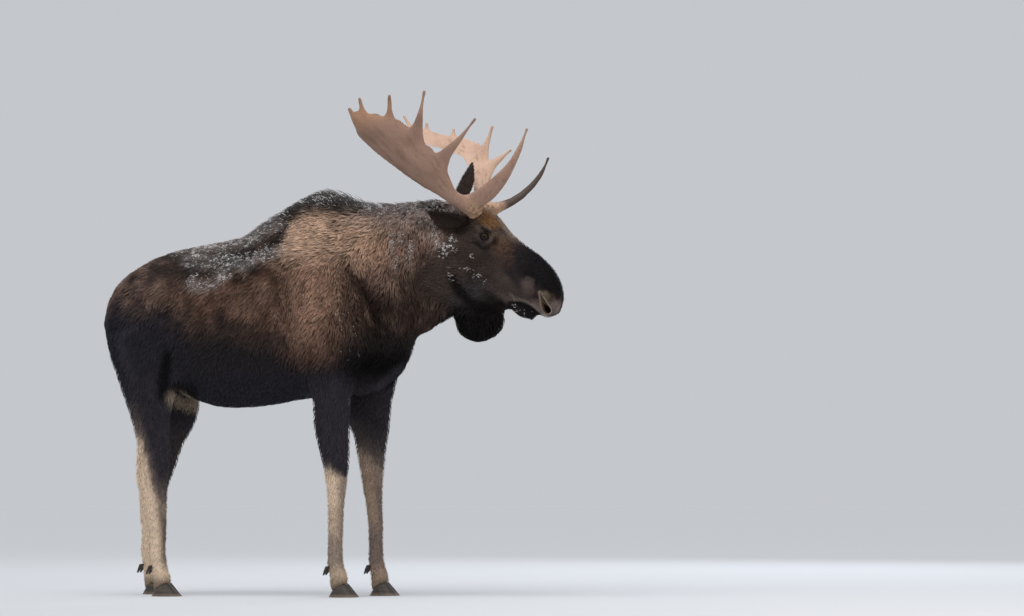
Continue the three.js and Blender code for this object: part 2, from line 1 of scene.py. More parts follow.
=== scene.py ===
# %% [markdown]
# # A bull moose, life size
# The model is a grown bull in his winter coat, standing quietly with his head a little turned.
# The solids of his body come packed as a fixed frame, and give the outline out to the tips of the
# hair. This script lays one skin inside them, grows a coat of tufts on it, and finishes the
# antlers, the hooves and the eyes.

# %% Load the frame
import math
import bpy
import numpy as np
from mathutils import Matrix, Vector
from mathutils.bvhtree import BVHTree


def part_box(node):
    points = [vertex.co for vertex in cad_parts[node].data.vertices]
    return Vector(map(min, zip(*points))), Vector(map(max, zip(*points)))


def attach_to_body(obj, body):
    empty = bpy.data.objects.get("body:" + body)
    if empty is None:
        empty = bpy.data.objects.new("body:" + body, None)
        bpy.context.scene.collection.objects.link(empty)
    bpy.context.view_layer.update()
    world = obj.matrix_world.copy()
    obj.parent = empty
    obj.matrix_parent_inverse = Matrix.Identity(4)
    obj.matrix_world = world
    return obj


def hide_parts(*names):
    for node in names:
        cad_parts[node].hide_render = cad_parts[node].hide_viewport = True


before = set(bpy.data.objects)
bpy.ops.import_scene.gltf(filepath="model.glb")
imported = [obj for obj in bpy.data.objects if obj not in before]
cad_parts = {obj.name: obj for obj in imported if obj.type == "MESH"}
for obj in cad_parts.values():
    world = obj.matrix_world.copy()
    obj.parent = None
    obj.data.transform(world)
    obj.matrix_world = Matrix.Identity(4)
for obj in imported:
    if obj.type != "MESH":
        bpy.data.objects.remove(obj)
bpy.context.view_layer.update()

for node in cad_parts.values():
    node.select_set(False)

# %% [markdown]
# ## Working with points
# Hair, skin and bone all change shape and colour from place to place, so most steps below work on
# a whole array of points at once. A ramp is a soft switch between two values, and a cloud is a
# field of soft random bumps that is the same on every run.

# %% Ramps, clouds and colours
def ramp(value, start, end):
    """Goes softly from 0 at start to 1 at end; end may be the smaller one."""
    t = np.clip((value - start) / (end - start), 0, 1)
    return t * t * (3 - 2 * t)


def cloud(points, size, seed=0):
    """Soft random heights from -1 to 1, in bumps about one size apart. Large odd numbers stir each
    cell's address into a number that looks random but is the same on every run."""
    place = np.asarray(points) / size + 31.7 * (seed + 1)
    cell = np.floor(place).astype(np.int64)
    part = place - cell
    part = part * part * (3 - 2 * part)
    total = np.zeros(len(place))
    for corner in np.ndindex(2, 2, 2):
        i, j, k = (cell + corner).T
        stirred = (i * 73856093) ^ (j * 19349663) ^ (k * 83492791) ^ (seed * 2654435)
        stirred = (stirred ^ (stirred >> 13)) * 1274126177
        height = ((stirred >> 8) & 0xFFFF) / 32767.5 - 1
        share = np.where(corner, part, 1 - part).prod(axis=1)
        total += share * height
    return total


def linear(code):
    """The linear colour of an sRGB hex code such as "#8a6a52"."""
    values = [int(code[i : i + 2], 16) / 255 for i in (1, 3, 5)]
    return [v / 12.92 if v <= 0.04045 else ((v + 0.055) / 1.055) ** 2.4 for v in values]


def mixed(colours, code, share):
    """Paints the colour of a hex code over the rows of colours, by a share at each row."""
    return colours + np.asarray(share)[:, None] * (np.array(linear(code)) - colours)


# %% [markdown]
# ## The camera
# The animal is seen from its right side, a little from the front, by a long lens far away and
# low down, so its legs hardly taper and its back stands against the background.

# %% Camera
CAMERA_SPOT = Vector((5.076, -19.586, 0.60))
LOOKED_AT = Vector((0.918, -0.023, 1.416))
camera_data = bpy.data.cameras.new("camera")
camera_data.lens = 143.5
camera_data.sensor_width = 36
camera = bpy.data.objects.new("camera", camera_data)
camera.location = CAMERA_SPOT
camera.rotation_euler = (LOOKED_AT - CAMERA_SPOT).to_track_quat("-Z", "Y").to_euler()
bpy.context.scene.collection.objects.link(camera)
bpy.context.scene.camera = camera

# %% [markdown]
# ## The studio
# A dark coat needs wide soft light: a big lamp overhead gives the back and the upper flanks their
# shape, one in front and one behind draw the edges, and a pale floor sends light up to the belly.

# %% Floor and light
bpy.ops.mesh.primitive_circle_add(vertices=96, radius=60, fill_type="NGON", location=(0, 0, 0))
floor = bpy.context.object
floor.name = "studio_floor"
floor_paint = bpy.data.materials.new("matt studio floor")
floor_paint.use_nodes = True
floor_shader = floor_paint.node_tree.nodes["Principled BSDF"]
floor_shader.inputs["Base Color"].default_value = (*linear("#c1c3c5"), 1)
floor_shader.inputs["Roughness"].default_value = 0.9
floor_shader.inputs["Specular IOR Level"].default_value = 0.2
floor.data.materials.append(floor_paint)

studio = bpy.data.worlds.new("studio")
studio.use_nodes = True
studio.node_tree.nodes["Background"].inputs["Color"].default_value = (*linear("#e6e9ee"), 1)
studio.node_tree.nodes["Background"].inputs["Strength"].default_value = 0.70
bpy.context.scene.world = studio
bpy.context.scene.view_settings.view_transform = "Standard"


def lamp(name, spot, size, watts, code):
    """A square lamp that faces the middle of the animal."""
    light = bpy.data.lights.new(name, "AREA")
    light.size = size
    light.energy = watts
    light.color = linear(code)
    holder = bpy.data.objects.new(name, light)
    holder.location = spot
    holder.rotation_euler = (Vector((0, 0, 1.3)) - Vector(spot)).to_track_quat("-Z", "Y").to_euler()
    bpy.context.scene.collection.objects.link(holder)


lamp("overhead", (0.5, -1.5, 7.5), 5.0, 130, "#f4f6ff")
lamp("front", (7.0, -4.5, 4.0), 2.5, 150, "#fff1e2")
lamp("behind", (2.0, 7.5, 4.5), 3.0, 170, "#eaf1ff")
daylight = bpy.data.lights.new("daylight", "SUN")
daylight.energy = 1.9
daylight.angle = math.radians(60)
daylight_holder = bpy.data.objects.new("daylight", daylight)
daylight_holder.rotation_euler = (math.radians(38), 0, math.radians(-25))
bpy.context.scene.collection.objects.link(daylight_holder)

# %% [markdown]
# ## Where the head lies
# The head is the part with the finest shapes, and it is pitched down and turned. Its features
# are placed along three directions of its own, with the start at the poll, between the ears: along
# the face to the nose, out to its left, and up from the face. The eyes of the frame say where it is.

# %% Head directions
HEAD_PITCH = math.radians(38)
HEAD_YAW = math.radians(-5)
cos_yaw, sin_yaw = math.cos(HEAD_YAW), math.sin(HEAD_YAW)
cos_pitch, sin_pitch = math.cos(HEAD_PITCH), math.sin(HEAD_PITCH)
turned = np.array([[cos_yaw, -sin_yaw, 0], [sin_yaw, cos_yaw, 0], [0, 0, 1]])
pitched = np.array([[cos_pitch, 0, sin_pitch], [0, 1, 0], [-sin_pitch, 0, cos_pitch]])
HEAD_WAYS = turned @ pitched
# Where the eye is, along, out and up from the poll.
EYE_ALONG, EYE_OUT, EYE_UP = 0.172, 0.105, 0.084


def middle_of(node):
    """The middle of the box of one node of the frame."""
    low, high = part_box(node)
    return np.array((low + high) / 2)


POLL = (middle_of("eye_right") + middle_of("eye_left")) / 2 - HEAD_WAYS @ (EYE_ALONG, 0, EYE_UP)


def in_head(points):
    """Places along, left of and up from the poll."""
    return (points - POLL) @ HEAD_WAYS


print("poll", POLL.round(3))

# %% [markdown]
# ## One skin
# The frame's flesh is in pieces, as a museum case would label them. On the animal nothing parts
# them, so copies of them are swelled by a hair's breadth until they overlap, joined, and turned
# into one closed surface by a voxel remesh, which keeps only the outside.

# %% Join the flesh
FLESH = ["trunk", "neck", "head", "bell", "tail", "eye_right", "eye_left"]
FLESH += ["foreleg_right", "foreleg_left", "hindleg_right", "hindleg_left"]
OVERLAP = 0.0012
VOXEL = 0.0149


def deselect():
    for thing in bpy.context.selected_objects:
        thing.select_set(False)


def activate(thing):
    deselect()
    thing.select_set(True)
    bpy.context.view_layer.objects.active = thing


def add(piece, kind, **settings):
    """Adds a modifier with its settings and applies it."""
    modifier = piece.modifiers.new(kind.lower(), kind)
    for key, value in settings.items():
        setattr(modifier, key, value)
    activate(piece)
    bpy.ops.object.modifier_apply(modifier=modifier.name)


def copy_of(nodes, name):
    """One object with merged copies of the meshes of some nodes of the frame."""
    copies = []
    for node in nodes:
        copy = bpy.data.objects.new(name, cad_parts[node].data.copy())
        copy.data.materials.clear()
        bpy.context.scene.collection.objects.link(copy)
        copies.append(copy)
    activate(copies[0])
    for copy in copies:
        copy.select_set(True)
    if len(copies) > 1:
        bpy.ops.object.join()
    bpy.ops.object.mode_set(mode="EDIT")
    bpy.ops.mesh.select_all(action="SELECT")
    bpy.ops.mesh.remove_doubles(threshold=1e-5)
    bpy.ops.object.mode_set(mode="OBJECT")
    return copies[0]


skin = copy_of(FLESH, "skin")
add(skin, "DISPLACE", strength=OVERLAP, mid_level=0)
add(skin, "REMESH", mode="VOXEL", voxel_size=VOXEL)
print("skin faces", len(skin.data.polygons))


# %% [markdown]
# ## Whole meshes at once
# A mesh of a hundred thousand points is read and written as one array, since a loop over single
# vertices would take minutes. Relaxing is then an average over each point's neighbours.

# %% Read and write whole meshes
def points_of(piece):
    flat = np.zeros(len(piece.data.vertices) * 3)
    piece.data.vertices.foreach_get("co", flat)
    return flat.reshape(-1, 3)


def set_points(piece, points):
    piece.data.vertices.foreach_set("co", points.ravel())
    piece.data.update()


def normals_of(piece):
    flat = np.zeros(len(piece.data.vertices) * 3)
    piece.data.vertices.foreach_get("normal", flat)
    return flat.reshape(-1, 3)


def edges_of(piece):
    flat = np.zeros(len(piece.data.edges) * 2, np.int64)
    piece.data.edges.foreach_get("vertices", flat)
    return flat.reshape(-1, 2)


def sum_of_neighbours(rows, one, other):
    """For each vertex, the sum of the rows of the vertices that share an edge with it."""
    sums = np.empty_like(rows)
    count = len(rows)
    for axis, column in enumerate(rows.T):
        sums[:, axis] = np.bincount(one, column[other], count) + np.bincount(other, column[one], count)
    return sums


def relax(piece, share, rounds, back=0.0):
    """Moves each vertex a share of the way to the middle of its neighbours, and, if back is
    given, out again by that share, so that bumps go but the bulk stays."""
    points, (one, other) = points_of(piece), edges_of(piece).T
    neighbours = np.bincount(one, minlength=len(points)) + np.bincount(other, minlength=len(points))
    for step in range(rounds * (2 if back else 1)):
        pull = sum_of_neighbours(points, one, other) / neighbours[:, None] - points
        amount = share if not back or step % 2 == 0 else -share * back
        points += np.reshape(amount, (-1, 1)) * pull
    set_points(piece, points)


# %% [markdown]
# ## Smooth flesh
# The copies are faceted, and the legs enter the body with a hard step. Relaxing the surface melts
# both. The wide trunk can take much of it and the thin shins little, so the share goes by place.

# %% Relax the skin
def trunk_share(points):
    """1 on the trunk and the neck, and softly 0 on the legs and the head."""
    return ramp(points[:, 2], 0.80, 1.05) * ramp(in_head(points)[:, 0], 0.05, -0.12)


places = points_of(skin)
relax(skin, 0.25 + 0.3 * trunk_share(places), 30, back=1.03)
relax(skin, 0.6 * trunk_share(points_of(skin)), 14)
print("skin relaxed")

# %% [markdown]
# ## Muscle and bone
# What reads as an animal under the hair is the relief: the shoulder blade with a valley behind it,
# the hollow flank, the point of the hip, the thigh and the stifle. Each is a soft lump or dent: its
# middle, its reach in three directions, and how far it lifts the skin. They are given for one side,
# with y counted out from the middle, and serve both. The left forearm and thigh, which are set
# further in, are filled out by a lump of their own.

# %% Body relief
def lift(points, middle, reach):
    """1 at the middle of a lump and softly 0 at its reach."""
    far = (((points - middle) / reach) ** 2).sum(axis=1)
    return np.where(far < 1, (1 - far) ** 2, 0)


BODY_LUMPS = {
    "shoulder blade": ((0.03, 0.28, 1.50), (0.24, 0.20, 0.34), 0.012),
    "upper arm": ((0.10, 0.26, 1.30), (0.15, 0.18, 0.16), 0.012),
    "valley below the hump": ((-0.19, 0.30, 1.76), (0.06, 0.22, 0.20), -0.018),
    "valley behind the shoulder": ((-0.17, 0.30, 1.50), (0.055, 0.22, 0.26), -0.016),
    "valley behind the arm": ((-0.12, 0.28, 1.25), (0.05, 0.20, 0.20), -0.012),
    "fold before the shoulder": ((0.240, 0.24, 1.50), (0.060, 0.20, 0.20), -0.024),
    "fold before the arm": ((0.300, 0.22, 1.31), (0.060, 0.18, 0.12), -0.018),
    "hump": ((0.00, 0.00, 1.97), (0.23, 0.13, 0.12), 0.022),
    "above the elbow": ((0.11, 0.20, 1.10), (0.07, 0.16, 0.08), -0.010),
    "bell": ((0.73, 0.00, 1.31), (0.17, 0.16, 0.12), 0.018),
    "throat": ((0.43, 0.00, 1.26), (0.10, 0.16, 0.10), -0.026),
    "ribs": ((-0.45, 0.30, 1.30), (0.26, 0.20, 0.26), 0.010),
    "hollow flank": ((-0.70, 0.28, 1.44), (0.11, 0.20, 0.17), -0.018),
    "point of the hip": ((-0.80, 0.22, 1.64), (0.09, 0.16, 0.07), 0.012),
    "thigh": ((-0.93, 0.28, 1.24), (0.17, 0.20, 0.26), 0.013),
    "fold of the flank": ((-0.775, 0.27, 1.13), (0.035, 0.20, 0.17), -0.022),
    "behind the thigh": ((-1.03, 0.22, 1.20), (0.04, 0.18, 0.22), -0.010),
    "hamstring": ((-0.98, 0.24, 1.16), (0.035, 0.18, 0.18), 0.007),
    "stifle": ((-0.84, 0.22, 1.02), (0.09, 0.16, 0.12), 0.010),
    "brisket": ((0.34, 0.00, 1.13), (0.14, 0.16, 0.14), 0.012),
    "armpit": ((0.05, 0.17, 1.04), (0.06, 0.14, 0.12), -0.010),
    "neck muscle": ((0.45, 0.18, 1.62), (0.16, 0.16, 0.12), 0.008),
    "below the neck muscle": ((0.40, 0.18, 1.42), (0.12, 0.16, 0.08), -0.008),
}
LEFT_LUMPS = {
    "forearm": ((0.055, 0.150, 0.91), (0.070, 0.110, 0.16), 0.060),
    "thigh": ((-0.730, 0.180, 0.87), (0.120, 0.140, 0.21), 0.050),
}

places, outward = points_of(skin), normals_of(skin)
mirrored = np.abs(places - (0, POLL[1], 0)) * (0, 1, 0) + places * (1, 0, 1)
height = sum(amount * lift(mirrored, middle, reach) for middle, reach, amount in BODY_LUMPS.values())
for middle, reach, amount in LEFT_LUMPS.values():
    height += amount * lift(places, middle, reach)
set_points(skin, places + height[:, None] * outward)
print("relief", round(float(height.min()), 4), round(float(height.max()), 4))

# %% [markdown]
# ## A finer head
# Fifteen millimetres between points is enough for a flank, but not for a nostril or an eyelid. The
# faces of the head are divided once, those of the muzzle and round the eyes again, and those of the
# nostrils a third time, and the new points are relaxed so that the face turns round.

# %% Divide the head's faces
def split(piece, chosen):
    """Divides the faces whose vertices are all chosen."""
    activate(piece)
    for domain in (piece.data.vertices, piece.data.edges, piece.data.polygons):
        domain.foreach_set("select", np.zeros(len(domain), bool))
    piece.data.vertices.foreach_set("select", chosen)
    bpy.ops.object.mode_set(mode="EDIT")
    bpy.ops.mesh.select_mode(type="VERT")
    bpy.ops.mesh.select_mode(type="FACE")
    bpy.ops.mesh.subdivide(number_cuts=1)
    bpy.ops.object.mode_set(mode="OBJECT")


def near_eye(head, reach):
    """True for places within reach of either eye."""
    out = np.abs(head[:, 1])
    return np.hypot(np.hypot(head[:, 0] - EYE_ALONG, head[:, 2] - EYE_UP), out - EYE_OUT) < reach


def relax_head(rounds):
    """Relaxes the skin in front of the poll; gives its new places there."""
    relax(skin, 0.3 * ramp(in_head(points_of(skin))[:, 0], 0.02, 0.08), rounds, back=1.02)
    return in_head(points_of(skin))


head = in_head(points_of(skin))
split(skin, (head[:, 0] > 0.05) & (head[:, 2] > -0.30))
head = relax_head(8)
split(skin, (head[:, 0] > 0.45) & (head[:, 2] > -0.14) | near_eye(head, 0.068))
head = relax_head(6)
by_nostril = np.hypot(head[:, 0] - 0.615, head[:, 2] - 0.003) < 0.066
split(skin, by_nostril & (np.abs(head[:, 1]) > 0.02))
print("skin faces", len(skin.data.polygons))

# %% [markdown]
# ## The face
# A moose's face is a long bridge ending in a broad, hanging upper lip with a comma of a nostril on
# each side. The lower lip is narrower and tucked in under it. The eye sits below a bony brow, with
# a hollow in front of it, and the big chewing muscle rounds the cheek. The lumps are given for one
# side, along, out and up from the poll, and the nostril is two drop shapes, a shallow comma with a
# deep hole in it.

# %% Face relief
FACE_LUMPS = {
    "brow": ((0.150, 0.110, 0.126), (0.070, 0.050, 0.032), 0.012),
    "front of the lower lid": ((0.200, 0.112, 0.048), (0.042, 0.050, 0.020), 0.005),
    "hollow before the eye": ((0.245, 0.095, 0.080), (0.055, 0.050, 0.040), -0.008),
    "temple": ((0.090, 0.115, 0.070), (0.050, 0.050, 0.050), -0.006),
    "cheekbone": ((0.215, 0.115, 0.035), (0.130, 0.050, 0.028), 0.007),
    "chewing muscle": ((0.170, 0.110, -0.080), (0.100, 0.070, 0.085), 0.009),
    "before the chewing muscle": ((0.300, 0.085, -0.070), (0.045, 0.060, 0.085), -0.009),
    "hollow cheek": ((0.360, 0.080, 0.000), (0.080, 0.050, 0.050), -0.007),
    "swell of the muzzle": ((0.475, 0.085, 0.015), (0.060, 0.050, 0.045), 0.007),
    "under the jaw": ((0.260, 0.085, -0.178), (0.110, 0.070, 0.022), -0.012),
    "bridge of the nose": ((0.560, 0.000, 0.130), (0.120, 0.060, 0.050), 0.004),
    "groove of the upper lip": ((0.660, 0.000, 0.010), (0.060, 0.020, 0.060), -0.006),
    "arch of the face": ((0.390, 0.000, 0.150), (0.200, 0.075, 0.055), 0.011),
    "lower lip": ((0.540, 0.045, -0.085), (0.070, 0.040, 0.040), 0.006),
}
# The lower edge of the upper lip: places along the head, and their heights.
LIP_LINE = (
    [0.430, 0.455, 0.474, 0.490, 0.523, 0.552, 0.582, 0.615, 0.665],
    [-0.098, -0.090, -0.080, -0.067, -0.054, -0.047, -0.046, -0.049, -0.060],
)
TAIL_RADIUS = 0.0025


def folded(head):
    """Both sides of the head laid on one another."""
    return np.column_stack((head[:, 0], np.abs(head[:, 1]), head[:, 2]))


def outside_drop(head, tail, middle, radius):
    """How far each place is outside a drop shape, seen from the side, that is round at its middle
    and runs out to a narrow tail; negative inside it."""
    way = np.array(middle) - tail
    rest = head[:, [0, 2]] - tail
    share = np.clip(rest @ way / (way @ way), 0, 1)
    near = rest - share[:, None] * way
    return np.hypot(*near.T) - (TAIL_RADIUS + (radius - TAIL_RADIUS) * ramp(share, -0.1, 1.05))


def nostril_rim(head):
    """How far each place is outside the shallow comma of the nostril."""
    return outside_drop(head, (0.563, 0.037), (0.634, -0.009), 0.0205)


def nostril_hole(head):
    """How far each place is outside the deep hole of the nostril."""
    return outside_drop(head, (0.606, 0.004), (0.637, -0.009), 0.0145)


def face_relief(head):
    """How far the skin of the face is lifted, outwards, and drawn in, towards the middle."""
    half = folded(head)
    out = sum(amount * lift(half, middle, reach) for middle, reach, amount in FACE_LUMPS.values())
    side = ramp(half[:, 1], 0.012, 0.040)
    rim_gap, hole_gap = nostril_rim(head), nostril_hole(head)
    hollow = 0.009 * ramp(rim_gap, 0.0, -0.010) + 0.026 * ramp(hole_gap, 0.002, -0.009)
    rim = 0.0048 * ramp(np.abs(rim_gap - 0.003), 0.006, 0.0)
    below = np.interp(head[:, 0], *LIP_LINE) - head[:, 2]
    mouth = ramp(head[:, 0], 0.445, 0.480) * ramp(head[:, 0], 0.672, 0.650)
    tuck = 0.017 * ramp(below, -0.001, 0.006) * ramp(below, 0.080, 0.045) * mouth
    lip = 0.004 * ramp(np.abs(below + 0.007), 0.010, 0.0) * mouth
    inwards = side * (hollow + tuck)
    return out + side * (rim + lip), inwards


places, outward = points_of(skin), normals_of(skin)
head = in_head(places)
on_head = ramp(head[:, 0], 0.0, 0.05)
out, inwards = face_relief(head)
sideways = np.sign(head[:, 1])[:, None] * HEAD_WAYS[:, 1]
set_points(skin, places + (on_head * out)[:, None] * outward - (on_head * inwards)[:, None] * sideways)
print("face", round(float(out.max()), 4), round(float(inwards.max()), 4))

# %% [markdown]
# ## Where each coat grows
# The coat is long over the hump and neck, short and sleek on the belly, the thighs and the legs,
# and like velvet on the face. Each region below has a soft share at every place, and its own depth
# of coat, length and width of lock, number of locks, and lie. Shares are laid over each other in
# order, so a later region covers an earlier one and there is no hard border.

# %% Regions of the coat
TRUNK_MIDDLE = middle_of("trunk")[1]
BELL_MIDDLE = middle_of("bell")
TAIL_LOW, TAIL_HIGH = (np.array(corner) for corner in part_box("tail"))
MANE_FRONT = 0.66
# The border of the dark underside: places along the body, and its height there.
DARK_EDGE = (
    [-1.084, -0.98, -0.826, -0.723, -0.519, -0.341, -0.214, -0.163, -0.088, 0.013, 0.114, 0.214, 0.335, 0.45],
    [1.37, 1.355, 1.35, 1.285, 1.27, 1.25, 1.235, 1.20, 1.15, 1.13, 1.175, 1.23, 1.26, 1.30],
)
# Half the width of the mane on the crest, along the body.
CREST_HALF = ([-0.10, 0.12, 0.28], [0.082, 0.070, 0.038])


def shares(points):
    """The soft share of each region of the coat at each place."""
    x, y, z = points.T
    side = np.abs(y - TRUNK_MIDDLE)
    along, out, up = in_head(points).T
    front = ramp(x, -0.24, -0.12)
    neck = ramp(x, 0.10, 0.30)
    crest = np.interp(x, *CREST_HALF)
    bell_reach = np.sqrt((((points - BELL_MIDDLE) / (0.175, 0.115, 0.11)) ** 2).sum(axis=1))
    fore, hind = ramp(x, -0.14, -0.07), ramp(x, -0.62, -0.70)
    tail_reach = np.linalg.norm(points - np.clip(points, TAIL_LOW, TAIL_HIGH), axis=1)
    dark_edge = np.interp(x, *DARK_EDGE)
    mane = ramp(side - crest, 0.020, -0.020) * ramp(z, 1.72, 1.80) * ramp(x, -0.42, -0.22)
    return {
        "rump": ramp(x, -0.60, -0.85) * ramp(z, 1.40, 1.55),
        "belly": ramp(z, dark_edge + 0.05, dark_edge - 0.12) * ramp(x, 0.30, 0.15),
        "shoulder": front * ramp(z, 1.12, 1.28),
        "hump": front * ramp(z, 1.58, 1.74),
        "neck": neck,
        "brisket": ramp(x, 0.06, 0.16) * ramp(z, 1.30, 1.18),
        "mane": mane * ramp(x, MANE_FRONT, MANE_FRONT - 0.06),
        "thigh_and_arm": ramp(z, 1.14, 1.00) * np.maximum(fore, hind),
        "shank": ramp(z, 0.70, 0.52),
        "cheek": ramp(along, -0.02, 0.10) * ramp(up, -0.32, -0.26),
        "face": ramp(along, 0.04, 0.20) * ramp(up, -0.10, -0.02),
        "muzzle": ramp(along, 0.30, 0.44) * ramp(up, -0.25, -0.20),
        "bell": ramp(bell_reach, 1.25, 0.95) * ramp(z, 1.46, 1.40),
        "tail": ramp(tail_reach, 0.02, 0.0),
    }


def face_way(along, left, up):
    """A direction given in the head's own ways."""
    return tuple(HEAD_WAYS @ (along, left, up))


# Depth, length and width of a lock in metres, locks on a square metre, and which way they lie.
COAT_KINDS = {
    "flank": (0.018, 0.043, 0.0041, 18500, (-0.45, 0, -0.90)),
    "rump": (0.017, 0.040, 0.0041, 18500, (-0.70, 0, -0.70)),
    "belly": (0.011, 0.032, 0.0036, 11500, (-0.45, 0, -0.90)),
    "shoulder": (0.024, 0.046, 0.0040, 23500, (-0.18, 0, -1.0)),
    "hump": (0.028, 0.052, 0.0042, 23500, (-0.70, 0, -0.70)),
    "neck": (0.026, 0.050, 0.0042, 22500, (-0.12, 0, -1.0)),
    "brisket": (0.014, 0.034, 0.0038, 15000, (-0.20, 0, -1.0)),
    "mane": (0.042, 0.085, 0.0043, 26000, (-1.0, 0, -0.10)),
    "thigh_and_arm": (0.010, 0.030, 0.0040, 9500, (-0.10, 0, -1.0)),
    "shank": (0.005, 0.018, 0.0030, 12000, (-0.05, 0, -1.0)),
    "cheek": (0.011, 0.030, 0.0036, 17000, face_way(-0.9, 0, -0.55)),
    "face": (0.006, 0.017, 0.0027, 20000, face_way(-1.0, 0, -0.15)),
    "muzzle": (0.003, 0.009, 0.0020, 20000, face_way(-1.0, 0, -0.35)),
    "bell": (0.020, 0.055, 0.0042, 22000, (-0.10, 0, -1.0)),
    "tail": (0.012, 0.050, 0.0045, 20000, (0.0, 0, -1.0)),
}


def coat_at(points):
    """Depth, length, width, locks a square metre and lie of the coat at each place, as columns."""
    kinds = {name: np.array([*kind[:4], *kind[4]]) for name, kind in COAT_KINDS.items()}
    coat = np.tile(kinds["flank"], (len(points), 1))
    for name, share in shares(points).items():
        coat += share[:, None] * (kinds[name] - coat)
    return coat


print("deepest coat", max(kind[0] for kind in COAT_KINDS.values()))

# %% [markdown]
# ## Under the coat
# The frame goes out to the tips of the hair, so the skin itself lies deeper by the depth of the
# coat at each place: four centimetres under the mane, hardly anything on the nose.

# %% Draw the skin in
places, outward = points_of(skin), normals_of(skin)
depth = coat_at(places)[:, 0]
ground_guard = ramp(places[:, 2], 0.03, 0.10)
set_points(skin, places - (depth * ground_guard)[:, None] * outward)
relax(skin, 0.3, 2)
print("coat depth", round(float(depth.min()), 4), "to", round(float(depth.max()), 4))

# %% [markdown]
# ## Eyelids
# An eye is a ball in a socket with two lids stretched over it. Seen along the eye's own outward
# line the lids leave an almond open. Round it the skin is drawn up to a shell a lid's thickness
# over the ball, with a crease 9 mm out from its edge, and inside it the skin is pushed below the
# ball, so the ball shows through. The ball is a little larger than the frame's and lies deeper,
# under its lids.

# %% Eyelids
EYE_RADIUS = 0.0245
EYE_SINK = 0.0075
EYE_OUTWARD = np.array((0.25, 1.0, 0.12))
EYE_OUTWARD /= np.linalg.norm(EYE_OUTWARD)
EYE_FORWARD = np.cross(np.cross(EYE_OUTWARD, (1, 0, 0)), EYE_OUTWARD)
EYE_FORWARD /= np.linalg.norm(EYE_FORWARD)
EYE_ABOVE = np.cross(EYE_FORWARD, EYE_OUTWARD)
EYE_ABOVE *= np.sign(EYE_ABOVE[2])
EYE_SPOT = np.array((EYE_ALONG, EYE_OUT, EYE_UP)) - EYE_SINK * EYE_OUTWARD
LID_THICKNESS = 0.0025


def at_eye(head):
    """Places forward of, above and out from the middle of the nearer eye."""
    rest = folded(head) - EYE_SPOT
    return rest @ EYE_FORWARD, rest @ EYE_ABOVE, rest @ EYE_OUTWARD


def lid_gap(forward, above):
    """How far a place is outside the open almond, in metres; negative inside it."""
    slanted = above - 0.12 * forward
    bow = 1 - (forward / 0.0250) ** 2
    return np.maximum(slanted - 0.0180 * bow, -slanted - 0.0145 * bow)


for reach in (0.046, 0.034):
    forward, above, outwards = at_eye(in_head(points_of(skin)))
    split(skin, (np.hypot(forward, above) < reach) & (outwards > -0.018))
places = points_of(skin)
head = in_head(places)
forward, above, outwards = at_eye(head)
off = np.hypot(forward, above)
shell = np.sqrt(np.maximum((EYE_RADIUS + LID_THICKNESS) ** 2 - off**2, 0))
under = np.sqrt(np.maximum((EYE_RADIUS - 0.003) ** 2 - off**2, 0))
gap = lid_gap(forward, above)
crease = 0.0024 * ramp(np.abs(gap - 0.0090), 0.0035, 0.0) * ramp(off, 0.035, 0.027)
open_share = ramp(gap, 0.0010, -0.0004) * (off < 0.0265)
lidded = outwards + ramp(off, 0.043, 0.024) * (np.maximum(shell, outwards) - outwards) - crease
lidded += 0.0012 * ramp(np.abs(gap - 0.0012), 0.0018, 0.0) * ramp(off, 0.030, 0.026)
wanted = lidded + open_share * (np.minimum(under, lidded) - lidded)
change = np.where((outwards > -0.024) & (off < 0.043), wanted - outwards, 0)
ways = np.tile(EYE_OUTWARD, (len(head), 1))
ways[:, 1] *= np.sign(head[:, 1])
set_points(skin, places + (change[:, None] * ways) @ HEAD_WAYS.T)
print("lids lift the skin up to", round(float(change.max()), 4))

# %% [markdown]
# ## Ears
# The ears are two leaves of skin, too thin for the coarse remesh, so copies of them are made
# smooth on their own with a finer remesh, and then joined to the skin by a boolean union, which
# leaves no seam. A tree of the ears' own faces is kept, to tell later which points are ear.

# %% Ears
ears = copy_of(["ear_right", "ear_left"], "ears")
add(ears, "DISPLACE", strength=0.0016, mid_level=0)
add(ears, "REMESH", mode="VOXEL", voxel_size=0.0038)
relax(ears, 0.45, 16, back=1.02)
ear_faces = [list(face.vertices) for face in ears.data.polygons]
ear_tree = BVHTree.FromPolygons(points_of(ears).tolist(), ear_faces)
union = skin.modifiers.new("ears", "BOOLEAN")
union.operation = "UNION"
union.solver = "EXACT"
union.object = ears
activate(skin)
bpy.ops.object.modifier_apply(modifier=union.name)
bpy.data.objects.remove(ears)


def ear_distance(points):
    """How far each place near an ear is from the ear's own surface."""
    x, y, z = points.T
    distance = np.full(len(points), 1.0)
    by_ear = (x > 0.50) & (x < 0.76) & (z > 1.76) & (z < 2.18)
    for index in np.flatnonzero(by_ear):
        hit = ear_tree.find_nearest(points[index], 0.06)
        if hit[3] is not None:
            distance[index] = hit[3]
    return distance


places = points_of(skin)
print("skin faces", len(skin.data.polygons), "ear points", int((ear_distance(places) < 0.001).sum()))

# %% [markdown]
# ## Laying the skin out flat
# Each place on the skin also needs a place on a flat sheet, for anyone who bakes colours. The body
# is boxed in parts, head, legs, ears and the rest, and each part is seen from its six sides. Every
# such view is a chart, and the charts stand in rows on one square sheet, all at one scale.

# %% Charts of the skin
LEG_NAMES = ["foreleg_right", "foreleg_left", "hindleg_right", "hindleg_left"]
CHART_GAP = 0.006


